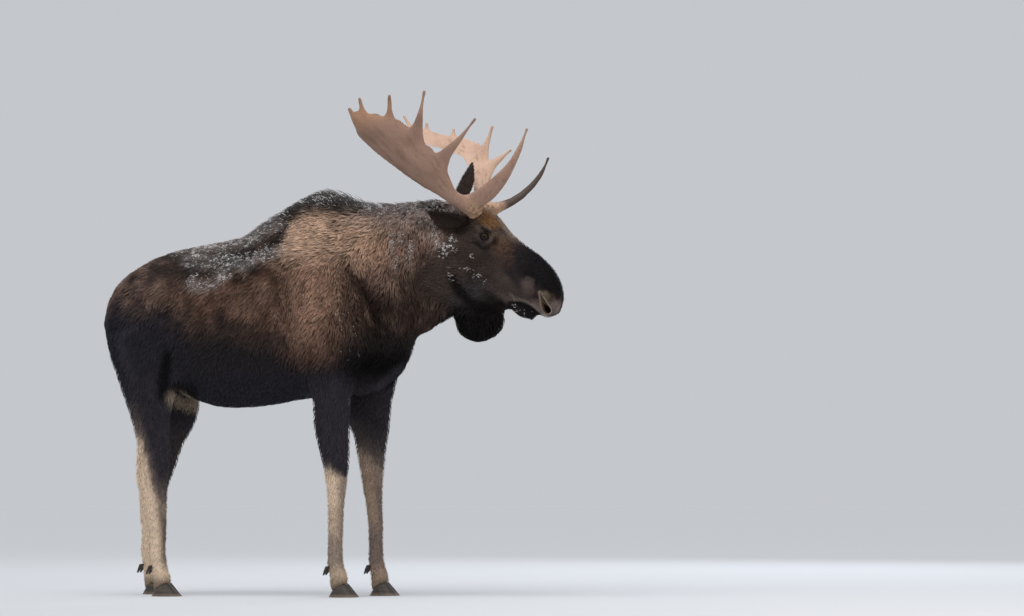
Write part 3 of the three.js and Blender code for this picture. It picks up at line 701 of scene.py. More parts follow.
def part_of(points, on_ear):
    """The number of the part of the body that each place belongs to."""
    part = np.where((in_head(points)[:, 0] > 0.04) & (points[:, 0] > 0.55), 1, 0)
    for number, leg in enumerate(LEG_NAMES):
        low, high = (np.array(corner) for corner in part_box(leg))
        part[((points > low - 0.06) & (points < high + 0.01)).all(axis=1)] = 2 + number
    part[on_ear] = np.where(points[on_ear, 1] > POLL[1], 7, 6)
    return part


def side_of(normals):
    """The number of the side, of six, that each normal faces most."""
    axis = np.abs(normals).argmax(axis=1)
    return 2 * axis + (normals[np.arange(len(normals)), axis] > 0)


def lay_flat(points, side):
    """The two coordinates that each side's view keeps."""
    kept = np.array([(1, 2), (1, 2), (0, 2), (0, 2), (0, 1), (0, 1)])[side]
    rows = np.arange(len(points))
    return np.column_stack((points[rows, kept[:, 0]], points[rows, kept[:, 1]]))


def shelve(low, high, scale):
    """Where each chart's corner goes when the charts stand in rows, and how high the rows get."""
    corners, across, row, row_height = {}, CHART_GAP, CHART_GAP, 0.0
    for chart in sorted(low, key=lambda c: low[c][1] - high[c][1]):
        wide, tall = (high[chart] - low[chart]) * scale + CHART_GAP
        if across + wide > 1:
            across, row, row_height = CHART_GAP, row + row_height, 0.0
        corners[chart] = np.array((across, row))
        across, row_height = across + wide, max(row_height, tall)
    return corners, row + row_height


# %% [markdown]
# ## The colours of the coat
# The long coat is brown, lightest on the hump and shoulder, reddish on the flank, and the mane on
# the crest is nearly black. Below a soft border the belly and thighs are blue-black, and the legs
# wear pale grey-tan stockings. The face is dark, with a rusty forehead, a black nose and a pale rim
# to the nostril. The colours are laid over each other as a painter glazes: each line below names a
# colour and the share of it that goes on at every place. Skin and locks both ask the same functions.

# %% Soft changes and distances for painting
def drift_of(points):
    """Wide soft changes of shade, as between one flank's top and bottom."""
    return cloud(points, 0.16, 3)


def patches_of(points):
    """Changes of shade in patches about half a hand wide."""
    return cloud(points, 0.055, 4)


def from_side_of(points):
    """Places as seen from the side: forward and up."""
    return points[:, [0, 2]]


def off_path(flat_places, *path):
    """How far each flat place is from a line made of straight lengths."""
    nearest = np.full(len(flat_places), np.inf)
    for start, end in zip(path, path[1:]):
        way = np.subtract(end, start)
        share = np.clip((flat_places - start) @ way / (way @ way), 0, 1)
        gap = flat_places - start - share[:, None] * way
        nearest = np.minimum(nearest, np.hypot(*gap.T))
    return nearest


# %% [markdown]
# ## Frost
# On a winter morning frost lies where snow has blown: along the back and the crest of the neck, in
# short streaks on the shoulder, and in specks on the cheek. Each streak is a line seen from the
# side, with half its width and how thick it lies. The hair under it is greyed in the same places.

# %% Where frost lies
BACK_STREAK = [(-0.670, 1.655), (-0.583, 1.650), (-0.481, 1.648)]
BACK_STREAK += [(-0.379, 1.642), (-0.300, 1.672), (-0.216, 1.700)]
FROST_STREAKS = [
    (0.62, 0.034, BACK_STREAK),
    (0.75, 0.030, [(-0.638, 1.555), (-0.577, 1.530), (-0.521, 1.555), (-0.470, 1.590)]),
    (0.50, 0.014, [(0.355, 1.765), (0.358, 1.690)]),
    (0.45, 0.012, [(0.395, 1.800), (0.398, 1.735)]),
    (0.40, 0.012, [(0.447, 1.730), (0.440, 1.655)]),
    (0.35, 0.010, [(0.378, 1.650), (0.372, 1.610)]),
    (0.35, 0.012, [(0.110, 1.848), (0.200, 1.826), (0.275, 1.818)]),
    (0.40, 0.030, [(0.530, 1.800), (0.570, 1.740)]),
    (0.45, 0.016, [(0.600, 1.730), (0.600, 1.670)]),
    (0.40, 0.018, [(0.650, 1.750), (0.660, 1.705)]),
    (0.30, 0.016, [(0.640, 1.600), (0.650, 1.560)]),
    (0.03, 0.060, [(0.150, 1.380), (0.170, 1.200)]),
]
# The same on the cheek, along and up from the poll.
CHEEK_FROST = [
    (0.55, 0.012, [(0.170, -0.106), (0.206, -0.080), (0.235, -0.100)]),
    (0.50, 0.012, [(0.255, -0.088), (0.305, -0.090)]),
    (0.35, 0.009, [(0.180, -0.030), (0.190, -0.022)]),
    (0.50, 0.012, [(0.055, -0.020), (0.071, -0.050), (0.075, -0.090)]),
    (0.22, 0.024, [(0.490, -0.105), (0.585, -0.100)]),
]
FROSTED_BACK = ([-0.80, -0.55, -0.36, -0.24], [1.66, 1.70, 1.73, 1.80])


def powder(points):
    """How thickly frost lies on the hair: on the back, the crest of the neck and the cheek."""
    x, y, z = points.T
    along, out, up = folded(in_head(points)).T
    side = np.abs(y - TRUNK_MIDDLE)
    on_back = ramp(z - np.interp(x, *FROSTED_BACK), -0.03, 0.03)
    rim = ramp(x, -0.82, -0.62) * ramp(x, -0.14, -0.24) * on_back
    hump = ramp(x, -0.30, -0.16) * ramp(x, 0.30, 0.05) * ramp(z, 1.88, 1.95)
    crest = ramp(x, 0.10, 0.30) * ramp(along, 0.02, -0.06) * ramp(z, 1.80, 1.90) * ramp(side, 0.16, 0.10)
    frosting = 0.62 * rim + 0.34 * hump + 0.62 * crest
    for most, half, path in FROST_STREAKS:
        frosting = frosting + most * ramp(off_path(from_side_of(points), *path), half * 1.6, half * 0.4)
    for most, half, path in CHEEK_FROST:
        streak = ramp(off_path(np.column_stack((along, up)), *path), half * 1.6, half * 0.4)
        frosting = frosting + most * streak * ramp(out, 0.005, 0.02)
    return np.clip(frosting, 0, 1)


def grains(points):
    """Splits the frost into small patches of grains."""
    return ramp(cloud(points, 0.010, 11) + 0.6 * cloud(points, 0.035, 12), -0.10, 0.70)


# %% [markdown]
# ## Trunk, shoulder and neck
# The long hairs are brown at the root and tan at the tip, so the coat is palest where it stands
# open, on the shoulder and the hump, and the hump's pale is partly painted light from above. Painted
# shade darkens the groove behind the hump and the fold of the neck. Wisps of light and dark hair
# run down it all.

# %% Trunk, shoulder and neck
# Borders are given as places along the body with a height there, or the other way round.
HUMP_EDGE = (
    [-0.24, -0.222, -0.161, -0.06, 0.02, 0.15, 0.35],
    [1.60, 1.745, 1.855, 1.925, 1.945, 1.915, 1.86],
)
NECK_FOLD = ([1.27, 1.376, 1.464, 1.572, 1.671], [0.315, 0.295, 0.260, 0.205, 0.10])
SHOULDER_BAND = ([1.20, 1.43, 1.60], [-0.055, -0.012, -0.02])


def trunk_colours(points):
    """Brown all over, greyer on the rump, with dark and pale patches and a redder flank."""
    x, y, z = points.T
    patch = patches_of(points)
    colours = np.tile(linear("#6b5245"), (len(points), 1))
    colours = mixed(colours, "#6c5a54", ramp(x, -0.55, -0.90) * 0.8)
    rough = ramp(x, -0.14, -0.26) * ramp(z, 1.24, 1.40)
    colours = mixed(colours, "#2b2523", 0.85 * ramp(patch, 0.10, 0.65) * rough)
    back_or_rump = np.maximum(ramp(z, 1.40, 1.52), ramp(x, -0.70, -0.80))
    colours = mixed(colours, "#9a7f6d", 0.60 * ramp(patch, -0.25, -0.80) * rough * back_or_rump)
    red_flank = lift(from_side_of(points) + 0.03 * patch[:, None], (-0.52, 1.50), (0.30, 0.10))
    return mixed(colours, "#86695a", 0.5 * rough * red_flank)


def shoulder_colours(points, share, colours):
    """Tan over the shoulder, the hump and the neck, the hump paler partly as painted light from above, and
    darker down to the throat.
    """
    x, y, z = points.T
    drift, patch = drift_of(points), patches_of(points)
    colours = mixed(colours, "#7b6052", share["shoulder"] * ramp(x, 0.34, 0.10))
    band = ramp(np.abs(x - np.interp(z, *SHOULDER_BAND) + 0.02 * patch), 0.135, 0.030)
    colours = mixed(colours, "#b08d78", 0.9 * band * ramp(z, 1.17, 1.45) * ramp(z, 1.80, 1.62))
    colours = mixed(colours, "#8e7468", share["neck"] * 0.85)
    pale_neck = lift(from_side_of(points) + 0.012 * drift[:, None], (0.26, 1.74), (0.18, 0.20))
    off_middle = ramp(np.abs(y - TRUNK_MIDDLE), 0.05, 0.12)
    colours = mixed(colours, "#b08b72", 0.9 * pale_neck * off_middle)
    # The pale hump is partly its own colour and partly painted light from above.
    hump = ramp(np.interp(x, *HUMP_EDGE) - z, -0.012, 0.030) * ramp(z, 1.58, 1.74)
    hump = hump * ramp(x, -0.245, -0.205) * ramp(x, 0.40, 0.16)
    colours = mixed(colours, "#dcbda4", 0.85 * hump * (0.75 + 0.25 * ramp(x, 0.14, -0.06)))
    colours = mixed(colours, "#a68f80", 0.7 * ramp(x, 0.22, 0.34) * ramp(z - 0.05 * patch, 1.72, 1.84))
    lower_neck = share["neck"] * ramp(z + 0.05 * patch, 1.74, 1.52) * ramp(x, 0.30, 0.42)
    colours = mixed(colours, "#4f3e35", lower_neck)
    colours = mixed(colours, "#4b3b35", share["neck"] * ramp(z, 1.62, 1.42))
    return mixed(colours, "#2c2422", share["neck"] * ramp(z, 1.40, 1.26))


def fold_shade_and_wisps(points, share, colours):
    """Painted shade in and behind the fold where the neck meets the shoulder, and wisps of hair over all the
    long coat.
    """
    x, y, z = points.T
    drift, patch = drift_of(points), patches_of(points)
    fold = np.interp(z, *NECK_FOLD)
    # Painted shade: darker behind the fold of the neck and near-black in it.
    shade_behind_fold = ramp(x, 0.04, 0.20) * ramp(x, fold + 0.05, fold - 0.01) * ramp(z, 1.72, 1.58)
    colours = mixed(colours, "#32261f", 0.75 * shade_behind_fold * (0.85 + 0.15 * drift))
    shade_in_fold = ramp(np.abs(x - fold + 0.02 * patch), 0.090, 0.010)
    colours = mixed(colours, "#150e0d", 0.75 * shade_in_fold * ramp(z, 1.66, 1.50) * ramp(z, 1.22, 1.32))
    wisps = cloud(points * (1, 1, 0.36) + 0.30 * points[:, [2]] * (1, 0, 0), 0.026, 17)
    on_coat = ramp(z, 1.05, 1.20) * (share["bell"] < 0.1)
    colours = mixed(colours, "#33271f", 0.60 * ramp(wisps, 0.05, 0.85) * on_coat)
    colours = mixed(colours, "#c3a38c", 0.30 * ramp(wisps, -0.15, -0.85) * on_coat * ramp(z, 1.25, 1.45))
    mottle = cloud(points * (1, 1, 0.5), 0.020, 13)
    return mixed(colours, "#3d322c", 0.40 * ramp(mottle, 0.1, 0.9))


# %% [markdown]
# ## The dark parts
# Belly, brisket and thighs are short-haired and blue-black, and the back behind the hump is
# grey-brown. Painted shadow lies in the groove behind the hump and black in the creases of flank
# and thigh, painted sheen pales the ridges of thigh and elbow, and the groin is pale.

# %% Back, belly and thighs
BACK_LINE = ([-0.90, -0.70, -0.54, -0.29], [1.56, 1.53, 1.55, 1.66])
HUMP_GROOVE_SHADOW = [(-0.235, 1.70), (-0.222, 1.745), (-0.161, 1.855), (-0.06, 1.925)]
THIGH_SHEEN_LINE = [(-0.92, 1.34), (-1.01, 1.28), (-0.97, 1.17), (-0.93, 1.08)]
ELBOW_SHEEN_LINE = [(0.150, 0.980), (0.220, 1.010), (0.315, 1.086), (0.410, 1.180)]
NEAR_GROIN = [(-0.745, 0.985), (-0.735, 0.945), (-0.690, 0.935), (-0.625, 0.918)]
FAR_GROIN = [(-0.840, 0.990), (-0.800, 0.960), (-0.740, 0.945), (-0.660, 0.930)]


def dark_colours(points, share, colours):
    """The back with a painted shadow in the groove behind the hump, the belly, the brisket, the mane and the
    upper legs.
    """
    x, y, z = points.T
    drift, patch = drift_of(points), patches_of(points)
    # Painted shadow in the groove behind the hump.
    groove = off_path(from_side_of(points), *HUMP_GROOVE_SHADOW)
    colours = mixed(colours, "#221d1b", 0.85 * ramp(groove, 0.030, 0.008))
    back_top = ramp(x, -0.13, -0.26) * ramp(z - np.interp(x, *BACK_LINE), -0.02, 0.06)
    colours = mixed(colours, "#37322f", back_top * (0.75 + 0.25 * patch) * ramp(x, -1.0, -0.8))
    edge = np.interp(x, *DARK_EDGE) + 0.045 * ramp(x, -0.05, -0.25) + 0.03 * drift + 0.02 * patch
    dark = ramp(z, edge + 0.14, edge - 0.10) * ramp(x, 0.50, 0.38)
    colours = mixed(colours, "#302c2e", dark)
    colours = mixed(colours, "#2f2d34", dark * np.maximum(ramp(x, -0.55, -0.75), ramp(z, 1.18, 1.06)))
    colours = mixed(colours, "#110e0f", ramp(x, 0.08, 0.18) * ramp(z, 1.30, 1.16))
    colours = mixed(colours, "#34302f", share["mane"])
    return mixed(colours, "#39353b", share["thigh_and_arm"])


def crease_shadow_sheen_and_groin(points, colours):
    """Painted sheen on the ridges of thigh and elbow, painted shadow in the creases of flank and thigh, and
    the pale groin.
    """
    x, y, z = points.T
    side = np.abs(y - TRUNK_MIDDLE)
    from_side = from_side_of(points)
    # Painted sheen: paler lines along the ridges of the thigh and the elbow.
    thigh = ramp(off_path(from_side, *THIGH_SHEEN_LINE), 0.035, 0.010)
    colours = mixed(colours, "#423f46", 0.7 * thigh * ramp(side, 0.05, 0.10))
    elbow = ramp(off_path(from_side, *ELBOW_SHEEN_LINE), 0.026, 0.004)
    colours = mixed(colours, "#47444a", 0.6 * elbow * (y < TRUNK_MIDDLE))
    # Painted shadow: black in the crease before the thigh and in the fold of the flank.
    crease = np.abs(x + 0.775 - 0.20 * (z - 1.10)) + 0.7 * np.maximum(0, np.abs(z - 1.10) - 0.09)
    colours = mixed(colours, "#060607", 0.85 * ramp(crease, 0.050, 0.010))
    flank_fold_shadow = lift(from_side, (-0.695, 1.025), (0.090, 0.060))
    colours = mixed(colours, "#08080a", 0.80 * ramp(flank_fold_shadow, 0.02, 0.50))
    near = ramp(off_path(from_side, *NEAR_GROIN), 0.050, 0.015) * ramp(side, 0.26, 0.21)
    far = ramp(off_path(from_side, *FAR_GROIN), 0.042, 0.018) * ramp(y, TRUNK_MIDDLE, TRUNK_MIDDLE + 0.04)
    return mixed(colours, "#a89884", 0.95 * np.maximum(near, far) * (0.85 + 0.15 * patches_of(points)))


# %% [markdown]
# ## Stockings
# Each leg's pale stocking begins higher at the back than in front, at a ragged edge. The table gives
# the edge's height at four places from the back of the leg to its front, and half the width of the
# soft border. Where a leg's front and back lie is measured on the skin at a row of heights.

# %% Legs
STOCKINGS = {
    "foreleg_right": ([0.635, 0.62, 0.60, 0.58], 0.032),
    "foreleg_left": ([0.69, 0.67, 0.64, 0.59], 0.080),
    "hindleg_right": ([0.79, 0.68, 0.55, 0.43], 0.060),
    "hindleg_left": ([0.76, 0.66, 0.55, 0.43], 0.060),
}
EDGE_PLACES = (-0.9, -0.4, 0.2, 0.9)


def leg_centres(leg):
    """The middle of a leg, front to back, at a few heights."""
    low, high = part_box(leg)
    own = points_of(skin)
    own = own[(own[:, 1] > low[1]) & (own[:, 1] < high[1])]
    own = own[(own[:, 0] > low[0] - 0.02) & (own[:, 0] < high[0] + 0.02)]
    heights = np.arange(0.05, 0.96, 0.07)
    rows = [own[np.abs(own[:, 2] - height) < 0.03, 0] for height in heights]
    return heights, [(row.min() + row.max()) / 2 for row in rows]


LEG_CENTRES = {leg: leg_centres(leg) for leg in LEG_NAMES}


def stocking(points, higher=0.0, softer=1.0):
    """The pale share of the lower legs, and how far each place is to the front of its leg."""
    x, y, z = points.T
    pale, front = np.zeros(len(points)), np.zeros(len(points))
    for leg, (edges, soft) in STOCKINGS.items():
        low, high = (np.array(corner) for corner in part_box(leg))
        mine = (x > low[0] - 0.05) & (x < high[0] + 0.05)
        mine &= np.sign(y - TRUNK_MIDDLE) == np.sign(low[1] + high[1] - 2 * TRUNK_MIDDLE)
        ahead = np.clip((x - np.interp(z, *LEG_CENTRES[leg])) / 0.050, -1, 1)
        edge = np.interp(ahead, EDGE_PLACES, edges) + higher + 0.018 * cloud(points, 0.03, 14)
        pale = np.where(mine, ramp(z, edge + soft * softer, edge - soft * softer), pale)
        front = np.where(mine, ahead, front)
    return pale, front


def leg_colours(points, colours):
    """The pale stockings, grey where they begin and darker down the front, and the far legs darker with
    painted shade.
    """
    y, z = points[:, 1], points[:, 2]
    near_side = y < TRUNK_MIDDLE
    fore = points[:, 0] > -0.3
    near_fore, far_fore = fore & near_side, fore & ~near_side
    above_hoof = ramp(z, 0.10, 0.18)
    grey_veil = stocking(points, 0.11, 1.7)[0]
    colours = mixed(colours, "#7d6f67", 0.75 * grey_veil * ~near_fore)
    # Painted shade: the far hind leg is darker high up.
    colours = mixed(colours, "#4e4645", 0.7 * ramp(z, 0.92, 0.80) * ~fore * ~near_side)
    pale, ahead = stocking(points)
    colours = mixed(colours, "#e4ccb3", pale)
    colours = mixed(colours, "#c0a991", pale * near_fore * ramp(z, 0.50, 0.40) * 0.8)
    shin = np.maximum(ramp(z, 0.36, 0.26), ramp(ahead, 0.0, 0.8))
    colours = mixed(colours, "#8f8075", pale * near_fore * shin * above_hoof * 0.85)
    # Painted shade: the far foreleg's stocking and shin are darker than the near one's.
    colours = mixed(colours, "#a18a79", pale * far_fore * 0.9)
    far_shin = np.maximum(ramp(z, 0.42, 0.28), ramp(ahead, 0.0, 0.7))
    colours = mixed(colours, "#796b64", pale * far_fore * far_shin * above_hoof * 0.85)
    hind_shin = ramp(ahead, 0.1, 0.8) * ramp(z, 0.10, 0.20)
    colours = mixed(colours, "#5f524b", pale * ~fore * hind_shin * 0.9)
    return mixed(colours, "#8f7d6b", pale * ramp(z, 0.12, 0.06))


# %% [markdown]
# ## The face's own markings
# The head is charcoal, blacker on the nose and round the ear's root, where dark hair lies in a
# painted shadow under the ear, with a rusty forehead and a grey ridge. Small marks follow the bones
# and the lip: each row gives a colour, how strong it is, its middle and its reach, along and up
# from the poll, and the eye's rows are forward and up from the eye. A ragged edge keeps them from
# looking stamped.

# %% Face marks
FACE_MARKS = {
    "pale ridge before the brow": ("#8d7765", 0.45, (0.235, 0.115), (0.060, 0.045)),
    "brown before the eye": ("#5d4435", 0.75, (0.268, 0.092), (0.085, 0.065)),
    "brown below that": ("#514037", 0.50, (0.320, 0.050), (0.070, 0.060)),
    "dark side of the muzzle": ("#2b2221", 0.90, (0.545, 0.010), (0.070, 0.070)),
    "grey side of the face": ("#5b4e48", 0.80, (0.480, 0.028), (0.044, 0.050)),
    "grey lower down": ("#5b4e48", 0.65, (0.508, 0.002), (0.044, 0.044)),
    "pale root of the nostril": ("#6a5f4e", 0.90, (0.594, 0.042), (0.050, 0.032)),
    "dark top of the nostril": ("#33211f", 0.85, (0.634, 0.058), (0.042, 0.032)),
    "pale front of the nose": ("#857571", 0.95, (0.672, 0.026), (0.058, 0.056)),
    "dark spot at the front": ("#2c2426", 0.80, (0.690, 0.040), (0.018, 0.020)),
    "pale corner of the lip": ("#75665f", 0.85, (0.588, -0.024), (0.056, 0.036)),
}
EYE_MARKS = {
    "shadow under the eye": ("#171214", 0.90, (0.004, -0.046), (0.056, 0.020)),
    "shadow of the tear duct": ("#171214", 0.85, (0.046, -0.034), (0.026, 0.024)),
    "dark front corner": ("#1f110c", 0.90, (0.054, 0.012), (0.026, 0.040)),
    "pale inner corner": ("#5d5456", 0.85, (0.037, 0.002), (0.014, 0.032)),
    "grey outer corner": ("#4c4447", 0.70, (-0.022, -0.021), (0.024, 0.014)),
    "lower lid": ("#342e33", 0.85, (0.014, -0.027), (0.026, 0.014)),
    "shadow under the brow": ("#171012", 0.95, (-0.006, 0.031), (0.040, 0.016)),
    "pale behind the eye": ("#6d6155", 0.65, (-0.042, 0.014), (0.026, 0.014)),
    "pale brow": ("#6d6155", 0.50, (-0.020, 0.044), (0.026, 0.011)),
}
EAR_ROOT_DARK_AND_SHADOW = [(-0.125, 0.050), (-0.064, 0.040), (0.014, 0.045), (0.052, 0.066)]
CHEEK_HOLLOW_SHADE = [(0.05, 0.02), (0.06, -0.08), (0.20, -0.04), (0.26, 0.02)]
NOSE_EDGE = ([-0.012, 0.008, 0.055, 0.121, 0.17], [0.410, 0.355, 0.318, 0.290, 0.290])
UPPER_LIP = [(0.434, -0.064), (0.462, -0.070), (0.485, -0.060)]
UPPER_LIP += [(0.520, -0.044), (0.547, -0.038), (0.609, -0.036)]
LIP_FRONT_HIGHLIGHT = [(0.628, -0.044), (0.655, -0.040), (0.690, -0.022), (0.710, 0.014), (0.700, 0.060)]
THROAT_SHADOW_LINE = [(0.175, -0.165), (0.237, -0.206), (0.283, -0.214)]
THROAT_SHADOW_LINE += [(0.335, -0.205), (0.381, -0.182), (0.427, -0.141)]


def roughened(flat_places, points, size, amount):
    """Flat places pushed about a little, for ragged edges."""
    push = np.column_stack((cloud(points, size, 17), cloud(points, size, 18)))
    return flat_places + amount * push


# %% Broad colours of the head
def head_colours(points, colours):
    """Charcoal over the head, the black nose, the grey ridge and the rusty forehead, with painted shade in
    the cheek's hollow and dark hair with painted shadow round the ear's root.
    """
    along, out, up = folded(in_head(points)).T
    from_side = np.column_stack((along, up))
    drift, patch = drift_of(points), patches_of(points)
    on_head = ramp(along + 0.04 * drift + 0.02 * patch, -0.06, 0.14) * ramp(up, -0.36, -0.26)
    colours = mixed(colours, "#4c413b", on_head)
    # Painted shade in the hollow of the cheek.
    hollow = ramp(off_path(from_side, *CHEEK_HOLLOW_SHADE), 0.06, 0.01)
    colours = mixed(colours, "#352a25", 0.55 * on_head * hollow)
    jaw = ramp(up, -0.07, -0.13) * ramp(along, 0.20, 0.26) * ramp(along, 0.36, 0.30)
    colours = mixed(colours, "#494548", 0.8 * on_head * jaw)
    chin = ramp(up, -0.09, -0.14) * ramp(along, 0.30, 0.37) * ramp(along, 0.46, 0.42)
    colours = mixed(colours, "#201c1e", on_head * chin)
    # Dark hair round the ear's root, and painted shadow under the ear.
    by_ear = ramp(off_path(from_side, *EAR_ROOT_DARK_AND_SHADOW) + 0.012 * patch, 0.062, 0.030)
    colours = mixed(colours, "#1f1714", 0.85 * by_ear * ramp(out, 0.02, 0.05))
    edge = np.interp(up, *NOSE_EDGE) + 0.015 * patch
    greyed = on_head * ramp(along, edge - 0.05, edge + 0.03) * ramp(up, -0.05, 0.02)
    colours = mixed(colours, "#2d2628", greyed)
    black = ramp(along, edge + 0.01, edge + 0.14) * ramp(up, 0.02, 0.07)
    black = np.maximum(black, ramp(along, 0.53, 0.60) * ramp(up, -0.02, 0.04))
    colours = mixed(colours, "#0c090b", black * on_head)
    ridge = ramp(out, 0.055, 0.020) * ramp(along, 0.06, 0.12) * ramp(along, 0.34, 0.24)
    colours = mixed(colours, "#8f7d70", 0.75 * ridge * ramp(up, 0.10, 0.14))
    rust = lift(from_side + 0.012 * patch[:, None], (0.120, 0.160), (0.105, 0.066)) * ramp(out, 0.015, 0.045)
    rusty = ramp(rust + 0.25 * cloud(points, 0.012, 15) * (rust > 0.01), 0.06, 0.55)
    colours = mixed(colours, "#85603f", 0.85 * rusty * on_head)
    off_middle = np.maximum(ramp(out, 0.02, 0.05), ramp(along, 0.62, 0.66) * ramp(out, 0.004, 0.015))
    ragged = roughened(from_side, points, 0.016, 0.010)
    for code, most, middle, reach in FACE_MARKS.values():
        colours = mixed(colours, code, most * lift(ragged, middle, reach) ** 0.7 * off_middle * on_head)
    return colours


# %% Lips, nostrils, throat and eyes
def mouth_colours(points, colours):
    """The lips with a painted highlight along the front, the nostrils with painted shade in their holes, the
    bell, and a painted shadow along the throat.
    """
    head = in_head(points)
    along, out, up = folded(head).T
    from_side = np.column_stack((along, up))
    on_head = ramp(along, -0.06, 0.14) * ramp(up, -0.36, -0.26)
    below = np.interp(along, *LIP_LINE) - up
    mouth = ramp(along, 0.43, 0.46) * on_head
    colours = mixed(colours, "#1d1919", mouth * ramp(below, -0.003, 0.007))
    lip = off_path(from_side, *UPPER_LIP) + 0.005 * cloud(points, 0.010, 19)
    colours = mixed(colours, "#7b7068", 0.70 * on_head * ramp(lip, 0.015, 0.002))
    rim_gap, hole_gap = nostril_rim(head), nostril_hole(head)
    sideways = ramp(out, 0.02, 0.035) * on_head
    colours = mixed(colours, "#4f4132", ramp(rim_gap, 0.001, -0.003) * sideways)
    front_rim = ramp((along - 0.563) * 0.60 + (up - 0.037), -0.004, 0.004) * ramp(along, 0.572, 0.590)
    pale_rim = ramp(np.abs(rim_gap - 0.001), 0.0042, 0.0010)
    colours = mixed(colours, "#b9a89b", 0.85 * front_rim * pale_rim * sideways)
    back_rim = ramp(np.abs(rim_gap - 0.003), 0.0065, 0.0015)
    colours = mixed(colours, "#8f7f77", 0.75 * (1 - front_rim) * back_rim * sideways)
    # Painted shade in the deep hole of the nostril.
    colours = mixed(colours, "#0d0808", ramp(hole_gap, 0.004, -0.004) * sideways)
    # Painted highlight along the front edge of the lip.
    lip_front_highlight = ramp(off_path(from_side, *LIP_FRONT_HIGHLIGHT), 0.012, 0.002)
    colours = mixed(colours, "#c4bab4", 0.70 * on_head * lip_front_highlight)
    colours = mixed(colours, "#151213", shares(points)["bell"])
    # Painted shadow along the throat, under the jaw.
    throat = ramp(off_path(from_side, *THROAT_SHADOW_LINE), 0.034, 0.008)
    return mixed(colours, "#0f0c0d", 0.90 * throat * on_head)


def eye_colours(points, colours):
    """The marks round the eyes, and the black edges of the lids."""
    forward, above, outwards = at_eye(in_head(points))
    by_eye = (np.hypot(forward, above) < 0.09) & (outwards > -0.045)
    ragged = roughened(np.column_stack((forward, above)), points, 0.009, 0.004)
    for code, most, middle, reach in EYE_MARKS.values():
        colours = mixed(colours, code, most * lift(ragged, middle, reach) ** 0.6 * by_eye)
    return mixed(colours, "#120d0e", by_eye * ramp(lid_gap(forward, above), 0.005, 0.002))


# %% [markdown]
# ## The whole coat's colour
# The glazes go on in order, from the widest to the finest, with the frost's grey between the body
# and the head, which has its own frost only as grains.

# %% One colour for every place
def coat_colour(points, ear_share):
    """The linear colour of the coat at each place, before any single hair's own shade."""
    share = shares(points)
    colours = trunk_colours(points)
    colours = shoulder_colours(points, share, colours)
    colours = fold_shade_and_wisps(points, share, colours)
    colours = dark_colours(points, share, colours)
    colours = crease_shadow_sheen_and_groin(points, colours)
    colours = leg_colours(points, colours)
    colours = mixed(colours, "#aaa4a1", 0.48 * powder(points))
    colours = head_colours(points, colours)
    colours = mouth_colours(points, colours)
    colours = eye_colours(points, colours)
    colours = mixed(colours, "#372c27", ear_share)
    return np.clip(colours, 0, 1)


print("painted functions ready, stockings on", list(STOCKINGS))

# %% [markdown]
# ## One lock of hair
# A lock is a bundle of hairs stuck together, thin and flat, with a ridge outside and a point at
# the tip. It is modelled once, as a three-sided cone cut across into short lengths, so that each
# copy can bend where it is cut. Short hair gets one cut, long hair two, and a grain of frost none.

# %% A lock of hair
def lock_shape(cuts):
    """The points and the triangles of a lock one long and one wide, standing along Z."""
    bpy.ops.mesh.primitive_cone_add(vertices=3, radius1=0.5, radius2=0, depth=1, location=(0, 0, 0.5))
    lock = bpy.context.object
    bpy.ops.object.transform_apply(location=True)
    bpy.ops.object.mode_set(mode="EDIT")
    for cut in range(1, cuts + 1):
        bpy.ops.mesh.select_all(action="SELECT")
        bpy.ops.mesh.bisect(plane_co=(0, 0, cut / (cuts + 1)), plane_no=(0, 0, 1))
    bpy.ops.mesh.select_all(action="SELECT")
    bpy.ops.mesh.quads_convert_to_tris()
    bpy.ops.mesh.normals_make_consistent(inside=False)
    bpy.ops.object.mode_set(mode="OBJECT")
    points = points_of(lock)
    faces = np.array([list(face.vertices) for face in lock.data.polygons])
    bpy.data.objects.remove(lock)
    level = points[:, 2]
    full = np.interp(level, (0, 0.33, 0.67, 1), (0.85, 1.0, 0.72, 0)) / np.maximum(1 - level, 1e-6)
    points[:, :2] *= full[:, None]
    points[:, 1] = points[:, 1] * 0.55
    return points, faces


GRAIN, SHORT_LOCK, LONG_LOCK = lock_shape(0), lock_shape(1), lock_shape(2)
print("lock faces", len(GRAIN[1]), len(SHORT_LOCK[1]), len(LONG_LOCK[1]))

# %% [markdown]
# ## What each point of the skin knows
# Everything a lock needs is worked out once for each point of the skin, and each root then takes
# its values from the three points round it: the depth, length, width, number and lie of the coat,
# its colour, and its place on the flat sheet. No hair grows on the rims of the eyes, in the
# nostrils, between the lips or below the hairline of the hooves.

# %% Values at the skin's points
activate(skin)
bpy.ops.object.mode_set(mode="EDIT")
bpy.ops.mesh.select_all(action="SELECT")
bpy.ops.mesh.quads_convert_to_tris()
bpy.ops.object.mode_set(mode="OBJECT")
bpy.ops.object.shade_smooth()
corners = np.zeros(len(skin.data.polygons) * 3, np.int64)
skin.data.polygons.foreach_get("vertices", corners)
triangles = corners.reshape(-1, 3)
places, outward = points_of(skin), normals_of(skin)
on_ear = ear_distance(places) < 0.0012
coat = coat_at(places)
